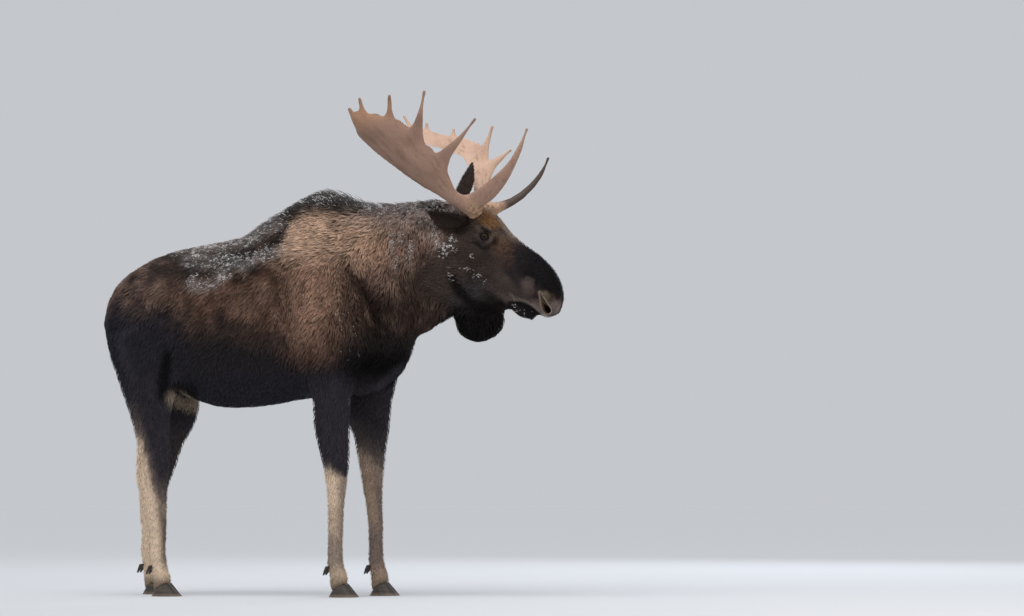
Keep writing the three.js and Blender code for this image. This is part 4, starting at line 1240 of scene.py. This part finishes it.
# The ear's own depth, length, width and number of locks.
coat[on_ear, :4] = (0.005, 0.026, 0.0032, 24000)
for side in (-1, 1):
    mine = on_ear & (np.sign(places[:, 1] - POLL[1]) == side)
    from_poll = np.linalg.norm(places[mine] - POLL, axis=1)
    tip = places[mine][np.argmax(from_poll)]
    root = places[mine][np.argmin(from_poll)]
    coat[mine, 4:] = (tip - root) / np.linalg.norm(tip - root)
head = in_head(places)
forward, above, outwards = at_eye(head)
by_eye = (np.hypot(forward, above) < 0.05) & (outwards > -0.03)
below = np.interp(head[:, 0], *LIP_LINE) - head[:, 2]
bald = by_eye * ramp(lid_gap(forward, above), 0.006, 0.003)
bald = np.maximum(bald, (nostril_rim(head) < 0.004) & (head[:, 0] > 0.5))
bald = np.maximum(bald, (head[:, 0] > 0.45) & (np.abs(below - 0.002) < 0.010))
bald = np.maximum(bald, ramp(places[:, 2], 0.075, 0.065))
coat[:, 3] *= 1 - bald
colour = coat_colour(places, on_ear * 1.0)
print("points", len(places), "triangles", len(triangles))

# %% [markdown]
# ## Charts and paint on the skin
# Each triangle goes to the chart of its part and its side, and the sheet is shrunk until all the
# charts fit. The skin under the hair gets the coat's own colours, darkened, since little light
# reaches it.

# %% Lay out the charts and paint the skin
SKIN_SHADE = 0.70
face_middle = places[triangles].mean(axis=1)
one_side = places[triangles[:, 1]] - places[triangles[:, 0]]
other_side = places[triangles[:, 2]] - places[triangles[:, 0]]
face_area = np.linalg.norm(np.cross(one_side, other_side), axis=1) / 2
smooth_normal = outward[triangles].sum(axis=1)
smooth_normal /= np.linalg.norm(smooth_normal, axis=1)[:, None]
face_side = side_of(smooth_normal)
face_chart = part_of(face_middle, on_ear[triangles].all(axis=1)) * 6 + face_side
flat = np.stack([lay_flat(places[triangles[:, corner]], face_side) for corner in range(3)], axis=1)
chart_low = {chart: flat[face_chart == chart].min(axis=(0, 1)) for chart in np.unique(face_chart)}
chart_high = {chart: flat[face_chart == chart].max(axis=(0, 1)) for chart in np.unique(face_chart)}
sheet_scale = 0.40
while shelve(chart_low, chart_high, sheet_scale)[1] > 1:
    sheet_scale *= 0.98
chart_corner, sheet_height = shelve(chart_low, chart_high, sheet_scale)
shift = np.array([chart_corner[chart] - sheet_scale * chart_low[chart] for chart in face_chart])
flat = flat * sheet_scale + shift[:, None, :]


def give_map(piece, corner_places):
    """Gives a piece its map for baking, a place on the sheet for each corner of each face."""
    sheet = piece.data.uv_layers.new(name="OFBake")
    sheet.data.foreach_set("uv", corner_places.astype(np.float32).ravel())


def give_colours(piece, colours):
    """Gives each vertex of a piece its colour, in the attribute that the materials read."""
    layer = piece.data.color_attributes.new(name="coat", type="FLOAT_COLOR", domain="POINT")
    opaque = np.column_stack((colours, np.ones(len(colours))))
    layer.data.foreach_set("color", opaque.astype(np.float32).ravel())


give_map(skin, flat)
give_colours(skin, colour * SKIN_SHADE)
print("charts", len(chart_corner), "scale", round(sheet_scale, 3), "height", round(sheet_height, 3))

# %% [markdown]
# ## Growing the coat
# Roots are spread over the skin by area and by the number of locks each place wants. From its root
# a lock walks over the skin along the lie of the coat, drawn towards the middle of its clump, and
# rises to the full depth of the coat at its tip. Clumps share a turn and a shade of their own, and
# that is what the eye sees as wisps.

# %% Roots and clumps
PATCH = 0.003
ROOT_DEPTH = 0.002
FROST_WHITE = "#e9e6e4"
face_crowd = coat[triangles, 3].mean(axis=1)
skin_tree = BVHTree.FromPolygons(places.tolist(), triangles.tolist())
chance = np.random.default_rng(7)


def unit(rows):
    """The rows made one long."""
    return rows / np.maximum(np.linalg.norm(rows, axis=1), 1e-9)[:, None]


def across(rows, normals):
    """The rows laid flat against the skin."""
    return unit(rows - (rows * normals).sum(axis=1)[:, None] * normals)


def nearest_skin(points):
    """The nearest places of the skin and its smooth normals there."""
    found = [skin_tree.find_nearest(point) for point in points.tolist()]
    spots = np.array([tuple(hit[0]) for hit in found])
    return spots, unit(outward[triangles[[hit[2] for hit in found]]].sum(axis=1))


def spread_roots(chosen, crowd):
    """The triangle of each root, and its weights on that triangle's three points."""
    rows = np.flatnonzero(chosen)
    running = np.cumsum(face_area[rows] * crowd[rows])
    marks = np.arange(int(running[-1])) + chance.random(int(running[-1]))
    root_face = rows[np.minimum(np.searchsorted(running, marks), len(rows) - 1)]
    one, two = chance.random((2, len(root_face)))
    one, two = np.where(one + two > 1, 1 - one, one), np.where(one + two > 1, 1 - two, two)
    return root_face, np.column_stack((1 - one - two, one, two))


def clump_middles(points, spacing):
    """For each point, the middle of its clump and the clump's number."""
    wobbled = points / spacing + 0.5 * cloud(points, 0.09, 9)[:, None]
    number = np.unique(np.floor(wobbled).astype(np.int64), axis=0, return_inverse=True)[1].ravel()
    count = np.bincount(number)
    middles = np.column_stack([np.bincount(number, points[:, axis]) / count for axis in range(3)])
    return middles[number], number


print("roots wanted", int((face_area * face_crowd).sum()))

# %% [markdown]
# ## From roots to locks
# A lock is laid down level by level: at each level it steps along the skin, finds the nearest place
# there, and stands off it by its rise. Then the template's points are set across each level, and
# all the locks of a piece become one mesh, since thousands of objects would be slow and fragile.

# %% Grow locks
def walk(root, normal, way, coat_rows, to_middle, bend, levels, start):
    """Lays locks over the skin; gives the places, the ups and the ways at each of their levels."""
    depth, length = coat_rows
    spots, ups, ways = [root + (start * depth - ROOT_DEPTH)[:, None] * normal], [normal], [way]
    place, facing = root, normal
    reach = length / (levels - 1)
    for step in range(1, levels):
        to_clump = (to_middle * np.cross(normal, way)).sum(axis=1)
        side_step = to_clump / (levels - 1)
        forward_step = way * reach[:, None]
        place, facing = nearest_skin(place + forward_step + np.cross(facing, way) * side_step[:, None])
        way = across(way, facing)
        aside = np.cross(facing, way)
        way = way * np.cos(bend)[:, None] + aside * np.sin(bend)[:, None]
        raised = math.sin(step / (levels - 1) * math.pi / 2) ** 1.2
        rise = depth * (start + (1.06 - start) * raised)
        spots.append(place + rise[:, None] * facing)
        ups.append(facing)
        ways.append(way)
    return spots, ups, ways


def mesh_of_locks(name, points, faces):
    """One object from the points and the triangles of many locks."""
    count = faces.shape[0] * faces.shape[1]
    piece_mesh = bpy.data.meshes.new(name)
    piece_mesh.vertices.add(points.shape[0] * points.shape[1])
    piece_mesh.vertices.foreach_set("co", points.astype(np.float32).ravel())
    piece_mesh.loops.add(count * 3)
    piece_mesh.loops.foreach_set("vertex_index", faces.astype(np.int32).ravel())
    piece_mesh.polygons.add(count)
    piece_mesh.polygons.foreach_set("loop_start", np.arange(0, count * 3, 3, dtype=np.int32))
    piece_mesh.update(calc_edges=True)
    piece = bpy.data.objects.new(name, piece_mesh)
    bpy.context.scene.collection.objects.link(piece)
    return piece


def grow(
    name,
    chosen,
    shape,
    spacing,
    pull=0.45,
    wave=0.30,
    loose=0.24,
    crowd=face_crowd,
    longest=1.0,
    start=0.0,
    frosted=0.0,
    root_shade=0.66,
    tip_shade=1.16,
):
    """Grows one piece of the coat on the chosen triangles of the skin. The pull draws locks to the
    middle of their clump, wave and loose turn them together and singly, start is how high above the
    skin they begin, and frosted how white they are."""
    root_face, weight = spread_roots(chosen, crowd)

    def at_root(values):
        return (values[triangles[root_face]] * weight[:, :, None]).sum(axis=1)

    root, normal = at_root(places), unit(at_root(outward))
    depth, length, width = at_root(coat[:, :3]).T
    lie, shade = at_root(coat[:, 4:]), at_root(colour)
    root_flat = (flat[root_face] * weight[:, :, None]).sum(axis=1)
    middle, clump = clump_middles(root, spacing)
    clump_value = chance.random((clump.max() + 1, 4))[clump]
    own_value = chance.random((len(root), 4))
    length = np.minimum(length, longest) * (0.72 + 0.30 * clump_value[:, 0] + 0.22 * own_value[:, 0])
    depth = depth * (0.76 + 0.30 * clump_value[:, 1] + 0.14 * own_value[:, 1])
    way = across(lie, normal)
    aside = np.cross(normal, way)
    turn = wave * cloud(root, 0.17, 5) + 0.7 * wave * cloud(root, 0.05, 6)
    turn = turn + 0.30 * (clump_value[:, 2] - 0.5) + loose * (own_value[:, 2] - 0.5) * 2
    way = way * np.cos(turn)[:, None] + aside * np.sin(turn)[:, None]
    bend = 0.5 * wave * cloud(root + 9, 0.07, 7)
    template, template_faces = shape
    levels = len(np.unique(template[:, 2].round(3)))
    levelled = walk(root, normal, way, (depth, length), (middle - root) * pull, bend, levels, start)
    level = (template[:, 2] * (levels - 1)).round().astype(int)
    spots, ups, ways = (np.array(rows)[level].transpose(1, 0, 2) for rows in levelled)
    sides = np.cross(ups, ways)
    wide = width * (0.75 + 0.5 * own_value[:, 3])
    sideways = (template[:, 0] * wide[:, None])[:, :, None]
    upwards = (template[:, 1] * wide[:, None])[:, :, None]
    faces = template_faces[None] + (np.arange(len(root)) * len(template))[:, None, None]
    piece = mesh_of_locks(name, spots + sides * sideways + ups * upwards, faces)
    lively = 0.70 + 0.48 * clump_value[:, 3] ** 1.5 + 0.30 * own_value[:, 1]
    # Each lock darkens towards its root: partly the hair's own colour, partly painted shade deep in the coat.
    tint = root_shade + (tip_shade - root_shade) * template[:, 2]
    colours = shade[:, None, :] * (lively[:, None] * tint)[:, :, None]
    colours += frosted * (np.array(linear(FROST_WHITE)) - colours)
    give_colours(piece, np.clip(colours, 0, 1).reshape(-1, 3))
    own_flat = root_flat[:, None, :] + PATCH * (template[:, [0, 2]] - (0, 0.5))[None]
    give_map(piece, own_flat[:, template_faces].reshape(-1, 2))
    print(name, len(root), "locks", len(piece.data.polygons), "triangles")
    return piece


# %% [markdown]
# ## The coat's pieces
# The coat is kept in pieces of under two hundred thousand triangles, parted where a furrier would
# cut. The last piece is frost: little grains that lie near the tips of the hair.

# %% Coat pieces
face_x, face_y, face_z = face_middle.T
face_head = in_head(face_middle)
right = face_y < TRUNK_MIDDLE
face_share = shares(face_middle)
is_ear = on_ear[triangles].any(axis=1)
is_head = (face_head[:, 0] > 0.03) & (face_head[:, 2] > -0.31) & ~is_ear & (face_share["bell"] < 0.5)
is_bell = (face_share["bell"] >= 0.5) & ~is_ear
is_leg = (face_z < 0.93) & ~((face_x > -0.70) & (face_x < -0.10)) & (face_x < 0.40)
is_body = ~(is_ear | is_head | is_bell | is_leg)
is_mane = is_body & (face_share["mane"] > 0.30)
is_front = is_body & ~is_mane & (face_x > 0.16)
is_shoulder = is_body & ~is_mane & ~is_front & (face_x > -0.26)
is_rear = is_body & ~is_mane & ~is_front & ~is_shoulder
is_rump = is_rear & (face_x < -0.70)
is_flank = is_rear & ~is_rump
frosty = powder(face_middle) * grains(face_middle)
is_frosty = (frosty > 0.02) & ~is_ear
GRAINS_PER_SQUARE_METRE = 150000
SHORT = {"shape": SHORT_LOCK, "wave": 0.2}
FROST = {"pull": 0.5, "loose": 0.6, "longest": 0.0065, "start": 0.90, "frosted": 0.92}
locks = [
    grow("coat_mane", is_mane, LONG_LOCK, 0.016, wave=0.24, loose=0.30),
    grow("coat_neck_right", is_front & right, LONG_LOCK, 0.014),
    grow("coat_neck_left", is_front & ~right, LONG_LOCK, 0.014),
    grow("coat_shoulder_right", is_shoulder & right, LONG_LOCK, 0.013, wave=0.42),
    grow("coat_shoulder_left", is_shoulder & ~right, LONG_LOCK, 0.013, wave=0.42),
    grow("coat_flank_right", is_flank & right, LONG_LOCK, 0.013),
    grow("coat_flank_left", is_flank & ~right, LONG_LOCK, 0.013),
    grow("coat_rump_right", is_rump & right, LONG_LOCK, 0.013),
    grow("coat_rump_left", is_rump & ~right, LONG_LOCK, 0.013),
    grow("coat_bell", is_bell, LONG_LOCK, 0.012, loose=0.3),
    grow("coat_legs", is_leg, spacing=0.010, root_shade=0.75, tip_shade=1.08, **SHORT),
    grow("coat_face", is_head, SHORT_LOCK, 0.008, wave=0.25, root_shade=0.72, tip_shade=1.10),
    grow("coat_ears", is_ear, spacing=0.008, longest=0.011, loose=0.12, **SHORT),
    grow("coat_frost", is_frosty, GRAIN, 0.010, crowd=GRAINS_PER_SQUARE_METRE * frosty, **FROST),
]
print("coat triangles", sum(len(piece.data.polygons) for piece in locks))

# %% [markdown]
# ## Antlers
# An antler is bare bone: a beam that leaves the skull at a knobbly burr, a dished palm, and tines
# that flow out of its rim. Copies of the frame's pieces give the layout. They are swelled, turned
# into one surface and shrunk again, which leaves a fillet in every fork, and the thin tines and the
# rim are shrunk less than the palm, so that they keep their size.

# %% Smooth bone
FILLET = 0.007
BONE_VOXEL = 0.0046


def flatness(piece, rounds):
    """Near 1 where the surface is flat for some way round a vertex, and less on rims and tines."""
    spread, (one, other) = normals_of(piece), edges_of(piece).T
    neighbours = 1 + np.bincount(one, minlength=len(spread)) + np.bincount(other, minlength=len(spread))
    for step in range(rounds):
        spread = (spread + sum_of_neighbours(spread, one, other)) / neighbours[:, None]
    return np.linalg.norm(spread, axis=1)


def cut_spikes(piece, rounds):
    """Takes down only the vertices that stand out from their neighbours by over a millimetre."""
    for step in range(rounds):
        before = points_of(piece)
        relax(piece, 1.0, 1)
        jump = np.linalg.norm(points_of(piece) - before, axis=1)
        kept = ramp(jump, 0.0022, 0.0013)[:, None]
        set_points(piece, kept * before + (1 - kept) * points_of(piece))


def smooth_bone(side):
    """One antler as a smooth closed surface, and how much each vertex belongs to the flat palm."""
    bone = copy_of([f"antler_palm_{side}", f"antler_brow_{side}"], f"antler_{side}")
    add(bone, "DISPLACE", strength=FILLET, mid_level=0)
    add(bone, "REMESH", mode="VOXEL", voxel_size=BONE_VOXEL)
    relax(bone, 0.5, 30, back=1.02)
    flat_share = ramp(flatness(bone, 14), 0.62, 0.86)
    shrink = FILLET * (0.36 + 0.26 * flat_share)
    set_points(bone, points_of(bone) - shrink[:, None] * normals_of(bone))
    relax(bone, 0.5 * flat_share, 80)
    relax(bone, 0.35, 6, back=1.02)
    cut_spikes(bone, 10)
    return bone, flat_share


# %% [markdown]
# ## Grooves, burr and bone colours
# Grooves where the blood vessels of the velvet lay run outwards from the burr, so their pattern is
# laid out on rays from it, and painted shade darkens them. The right antler stands in its own shade
# and is painted browner, with a painted warm light high on its palm; the left one is paler, and
# its brow tine is painted nearly black as shade. On both, painted light pales the rims that face
# up and painted shade darkens those that face down.

# %% Antlers
BURR_SPOTS = {"right": (0.759, -0.139, 1.890), "left": (0.770, 0.093, 1.894)}
BONE_COLOURS = {"right": ("#937565", "#74594a", "#a58876"), "left": ("#b3947f", "#98796a", "#cdb09b")}


def grown_bone(side):
    """One finished antler, with its grooves, its burr and its vertex colours."""
    bone, flat_share = smooth_bone(side)
    places, outward = points_of(bone), normals_of(bone)
    away = places - np.array(BURR_SPOTS[side])
    far = np.linalg.norm(away, axis=1)
    rays = 0.34 * away / np.maximum(far, 0.02)[:, None] + 0.10 * away
    groove = cloud(rays, 0.012, 21) + 0.6 * cloud(rays, 0.006, 22)
    swell = cloud(places, 0.07, 23)
    pitted = cloud(places, 0.011, 24)
    knobs = np.abs(pitted) * ramp(far, 0.085, 0.050)
    scoring = ramp(far, 0.03, 0.14) * (0.55 + 0.45 * ramp(far, 0.75, 0.45))
    height = 0.0008 * np.minimum(groove, 0.35) * scoring + 0.0012 * swell * flat_share + 0.0052 * knobs
    set_points(bone, places + height[:, None] * outward)
    low, high = (np.array(corner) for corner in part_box(f"antler_brow_{side}"))
    on_brow = ramp(np.linalg.norm(places - np.clip(places, low, high), axis=1), 0.02, 0.0)
    on_edge = 1 - flat_share
    main, dark, pale = BONE_COLOURS[side]
    stain = cloud(places, 0.12, 25) + 0.5 * cloud(places, 0.04, 26)
    colours = np.tile(linear(main), (len(places), 1))
    colours = mixed(colours, dark, 0.5 * ramp(stain, -0.1, 1.0))
    colours = mixed(colours, pale, 0.30 * ramp(cloud(rays, 0.030, 27), 0.0, 0.9))
    # Painted shade in the grooves.
    colours = mixed(colours, "#5f493b", 0.35 * ramp(groove, -0.2, -0.9) * scoring)
    if side == "right":
        # Painted warm light high on the right palm.
        warm_light = ramp(places[:, 2] - 0.35 * places[:, 0], 2.14, 2.24)
        colours = mixed(colours, "#a97f5e", 0.5 * warm_light * flat_share)
    # Painted light on rims that face up, painted shade on rims that face down.
    lit_top_edge = ramp(outward[:, 2], 0.3, 0.9) * ramp(far, 0.10, 0.20) * (1 - 0.7 * on_brow)
    colours = mixed(colours, "#c9b7a6", 0.40 * on_edge * lit_top_edge)
    colours = mixed(colours, "#4e3d33", 0.55 * on_edge * ramp(outward[:, 2], -0.2, -0.8))
    tine_tip = ramp(far, 0.45, 0.60) * ramp(flatness(bone, 14), 0.30, 0.15)
    colours = mixed(colours, "#b79a72", 0.5 * on_edge * tine_tip)
    # Painted shade: the left brow tine nearly black.
    if side == "left":
        colours = mixed(colours, "#2f2620", 0.92 * on_brow * ramp(far, 0.05, 0.12))
    by_burr = ramp(far, 0.11, 0.06)
    colours = mixed(colours, "#a2846b", 0.7 * by_burr)
    colours = mixed(colours, "#5d4130", 0.6 * by_burr * ramp(pitted, 0.1, -0.5))
    bone.data.materials.clear()
    activate(bone)
    bpy.ops.object.shade_smooth()
    give_colours(bone, np.clip(colours, 0, 1))
    print("antler", side, len(bone.data.polygons), "faces")
    return bone


antlers = {side: grown_bone(side) for side in BURR_SPOTS}

# %% [markdown]
# ## Hooves and dewclaws
# A moose stands on two long pointed toes, and two small dewclaws hang behind each foot. The horn
# grows down from the hairline, so it is ringed across, darkest at the hairline and scuffed pale at
# the edge that meets the ground.

# %% Hooves
HORN_VOXEL = 0.0032
RING_SPACING = 0.0075


def claws_of(leg):
    """The names of the frame's hoof halves and dewclaws of one leg."""
    return [f"{claw}_{leg}_{toe}" for claw in ("hoof", "dewclaw") for toe in ("inner", "outer")]


def horn_of(leg):
    """The hooves and dewclaws of one leg as smooth ringed horn."""
    horn = copy_of(claws_of(leg), f"hooves_{leg}")
    add(horn, "REMESH", mode="VOXEL", voxel_size=HORN_VOXEL)
    relax(horn, 0.4, 5, back=1.02)
    places, outward = points_of(horn), normals_of(horn)
    z = places[:, 2]
    wall = ramp(z, 0.002, 0.010) * (1 - np.abs(outward[:, 2])) * ramp(z, 0.100, 0.085)
    wavy = z + 0.10 * places[:, 0] + 0.0015 * cloud(places, 0.03, 31)
    rings = np.sin(2 * np.pi * wavy / RING_SPACING)
    height = 0.00055 * wall * rings + 0.0006 * cloud(places, 0.008, 32) * wall
    set_points(horn, places + height[:, None] * outward)
    pale_rings = ramp(cloud(wavy[:, None] * (1, 1, 1), 0.009, 33), 0.0, 0.9)
    colours = np.tile(linear("#2e2824"), (len(places), 1))
    colours = mixed(colours, "#574a3e", 0.6 * pale_rings * wall)
    colours = mixed(colours, "#6e6052", 0.7 * ramp(z, 0.020, 0.004))
    horn.data.materials.clear()
    activate(horn)
    bpy.ops.object.shade_smooth()
    give_colours(horn, colours)
    return horn


hooves = {leg: horn_of(leg) for leg in LEG_NAMES}
print("hoof faces", [len(horn.data.polygons) for horn in hooves.values()])

# %% [markdown]
# ## Eyes
# A deer's eye is nearly all iris, dark brown, with a level pupil like a slot, and a clear wet
# bulge in front. A ball is added along the eye's outward line, its front is drawn out a little for
# the clear bulge, and its points are coloured by their angle from that line.

# %% Eyes
CLEAR_BULGE = 0.0014


def eyeball(side, name):
    """One eye; side is -1 for the right and 1 for the left."""
    mirror = (1, side, 1)
    way = HEAD_WAYS @ (EYE_OUTWARD * mirror)
    spot = POLL + HEAD_WAYS @ (EYE_SPOT * mirror)
    bpy.ops.mesh.primitive_uv_sphere_add(segments=64, ring_count=40, radius=EYE_RADIUS)
    ball = bpy.context.object
    ball.name = name
    ball.rotation_euler = Vector(way).to_track_quat("Z", "Y").to_euler()
    ball.location = spot
    bpy.ops.object.transform_apply(location=True, rotation=True)
    bpy.ops.object.shade_smooth()
    rest = (points_of(ball) - spot) / EYE_RADIUS
    facing = rest @ way
    set_points(ball, spot + rest * (EYE_RADIUS + CLEAR_BULGE * ramp(facing, 0.72, 0.95))[:, None])
    level = rest @ (HEAD_WAYS @ (EYE_FORWARD * mirror))
    above = rest @ (HEAD_WAYS @ (EYE_ABOVE * mirror))
    pupil = (facing > 0) * ramp(np.hypot(level / 0.42, above / 0.20), 1.1, 0.9)
    colours = np.tile(linear("#2a211d"), (len(rest), 1))
    colours = mixed(colours, "#24160f", ramp(facing, 0.66, 0.74))
    colours = mixed(colours, "#120b08", ramp(np.abs(facing - 0.72), 0.06, 0.01))
    colours = mixed(colours, "#040304", pupil)
    give_colours(ball, colours)
    return ball


eyes = {"right": eyeball(-1, "eyeball_right"), "left": eyeball(1, "eyeball_left")}
print("eye points", [len(ball.data.vertices) for ball in eyes.values()])

# %% [markdown]
# ## Materials
# Every piece carries its colours as an attribute, painted above from the place of each point. The
# materials add what is finer than that: the streaks of single hairs, the pores of bone, the
# scratches on horn, and the way each of them takes the light.

# %% Node helper
def node(tree, kind, settings=(), **links):
    """Adds a shader node, sets its inputs and properties, and links other nodes' outputs to it."""
    made = tree.nodes.new(kind)
    for key, value in dict(settings).items():
        if key in made.inputs:
            made.inputs[key].default_value = value
        else:
            setattr(made, key, value)
    for key, source in links.items():
        tree.links.new(source, made.inputs[key.replace("_", " ")])
    return made


def painted(name, roughness, specular, coat_gloss=0.0):
    """A new material whose colour starts from the painted attribute; gives its parts."""
    material = bpy.data.materials.new(name)
    material.use_nodes = True
    tree = material.node_tree
    shader = tree.nodes["Principled BSDF"]
    shader.inputs["Roughness"].default_value = roughness
    shader.inputs["Specular IOR Level"].default_value = specular
    shader.inputs["Coat Weight"].default_value = coat_gloss
    paint = node(tree, "ShaderNodeAttribute", {"attribute_name": "coat"})
    place = node(tree, "ShaderNodeTexCoord")
    return material, tree, shader, paint, place


def streaked(parts, stretch, scale, range_of_paint, bump_of=None, turn=(0, 0, 0)):
    """Varies the paint between two shares along streaks, and may raise them by a strength and a
    height."""
    tree, shader, paint, place = parts
    least, most = range_of_paint
    laying = {"Rotation": turn, "Scale": stretch}
    laid = node(tree, "ShaderNodeMapping", laying, Vector=place.outputs["Object"])
    noise = {"Scale": scale, "Detail": 3.0, "Roughness": 0.6}
    streaks = node(tree, "ShaderNodeTexNoise", noise, Vector=laid.outputs["Vector"])
    limits = {"From Min": 0.32, "From Max": 0.68, "To Min": least, "To Max": most}
    band = node(tree, "ShaderNodeMapRange", limits, Value=streaks.outputs["Fac"])
    share, paint_colour = band.outputs["Result"], paint.outputs["Color"]
    shaded = node(tree, "ShaderNodeVectorMath", {"operation": "SCALE"}, Vector=paint_colour, Scale=share)
    tree.links.new(shaded.outputs["Vector"], shader.inputs["Base Color"])
    if bump_of:
        raised = dict(zip(("Strength", "Distance"), bump_of))
        bump = node(tree, "ShaderNodeBump", raised, Height=streaks.outputs["Fac"])
        tree.links.new(bump.outputs["Normal"], shader.inputs["Normal"])


# %% [markdown]
# ## The six finishes
# Hair, hide, antler and hoof differ in how far the streaks stretch, how deep they are and how much
# they shine. The scale is in noise bumps to the metre, so 420 makes streaks 2.4 millimetres wide,
# and a stretch under 1 along one direction makes them that much longer there.

# %% Hair, hide, bone, horn and eye
# Guard hair: hollow winter hairs, matt, with faint streaks of 1.1 mm. The locks are relief enough.
guard_hair, *parts = painted("winter guard hair", roughness=0.66, specular=0.09)
streaked(parts, stretch=(1, 1, 0.35), scale=900, range_of_paint=(0.85, 1.15))
# Hide under short hair on body and legs: hairs about 0.3 mm thick, too fine to show, are drawn as
# streaks of 2.4 mm.
body_hide, *parts = painted("short hair on hide", roughness=0.66, specular=0.10)
streaked(parts, stretch=(1, 1, 0.16), scale=420, range_of_paint=(0.72, 1.28), bump_of=(0.6, 0.0018))
# Face hide: the same, with streaks of 1.9 mm that lie along the face.
face_hide, *parts = painted("velvet hair on the face", roughness=0.60, specular=0.07)
along_face = {"turn": (0, -HEAD_PITCH, 0), "stretch": (0.16, 1, 1)}
streaked(parts, scale=520, range_of_paint=(0.75, 1.25), bump_of=(0.5, 0.0014), **along_face)
# Antler bone: rubbed clean of velvet and dry. Its pores are drawn as wide as 4 mm, so that they show.
antler_bone, *parts = painted("dry antler bone", roughness=0.62, specular=0.30)
streaked(parts, stretch=(1, 1, 0.6), scale=240, range_of_paint=(0.84, 1.14), bump_of=(0.35, 0.0010))
# Hoof horn: worn keratin, half polished, with scratches 2 mm high running across.
hoof_horn, *parts = painted("worn hoof horn", roughness=0.42, specular=0.45)
streaked(parts, stretch=(0.3, 0.3, 1), scale=500, range_of_paint=(0.80, 1.18), bump_of=(0.25, 0.0006))
# Eye: a dark iris with fine fibres, under a thin coat of clear wet tissue.
wet_eye, tree, shader, paint, place = painted("wet dark eye", roughness=0.30, specular=0.12, coat_gloss=0.10)
shader.inputs["Coat Roughness"].default_value = 0.03
fibres = node(tree, "ShaderNodeTexNoise", {"Scale": 1600.0, "Detail": 2.0}, Vector=place.outputs["Object"])
fleck = node(tree, "ShaderNodeMapRange", {"To Min": 0.6, "To Max": 1.5}, Value=fibres.outputs["Fac"])
iris, amount = paint.outputs["Color"], fleck.outputs["Result"]
flecked = node(tree, "ShaderNodeVectorMath", {"operation": "SCALE"}, Vector=iris, Scale=amount)
tree.links.new(flecked.outputs["Vector"], shader.inputs["Base Color"])
print("finishes", [m.name for m in (guard_hair, body_hide, face_hide, antler_bone, hoof_horn, wet_eye)])

# %% [markdown]
# ## Putting it together
# The skin stands for the frame's flesh and ears, and the antlers, hooves and eyes for theirs. All
# of it rides on the one body, as nothing moves.

# %% Dress and attach the pieces
skin.data.materials.clear()
skin.data.materials.append(body_hide)
skin.data.materials.append(face_hide)
velvet = (in_head(face_middle)[:, 0] > 0.04) & (face_middle[:, 0] > 0.55)
skin.data.polygons.foreach_set("material_index", velvet.astype(np.int32))
skin.data.update()


def attach(piece, material=None):
    """Gives a piece its material and the body it rides on."""
    if material:
        piece.data.materials.append(material)
    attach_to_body(piece, "root")


attach(skin)
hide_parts(*[name for name in FLESH if not name.startswith("eye")], "ear_right", "ear_left")
COAT_SLOTS = {name: "hide_face" for name in ("coat_face", "coat_ears", "coat_bell")}
COAT_SLOTS["coat_legs"] = "hide_leg"
for piece in locks:
    attach(piece, guard_hair)
for side, bone in antlers.items():
    attach(bone, antler_bone)
    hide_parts(f"antler_palm_{side}", f"antler_brow_{side}")
    attach(eyes[side], wet_eye)
    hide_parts(f"eye_{side}")
for leg, horn in hooves.items():
    attach(horn, hoof_horn)
    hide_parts(*claws_of(leg))
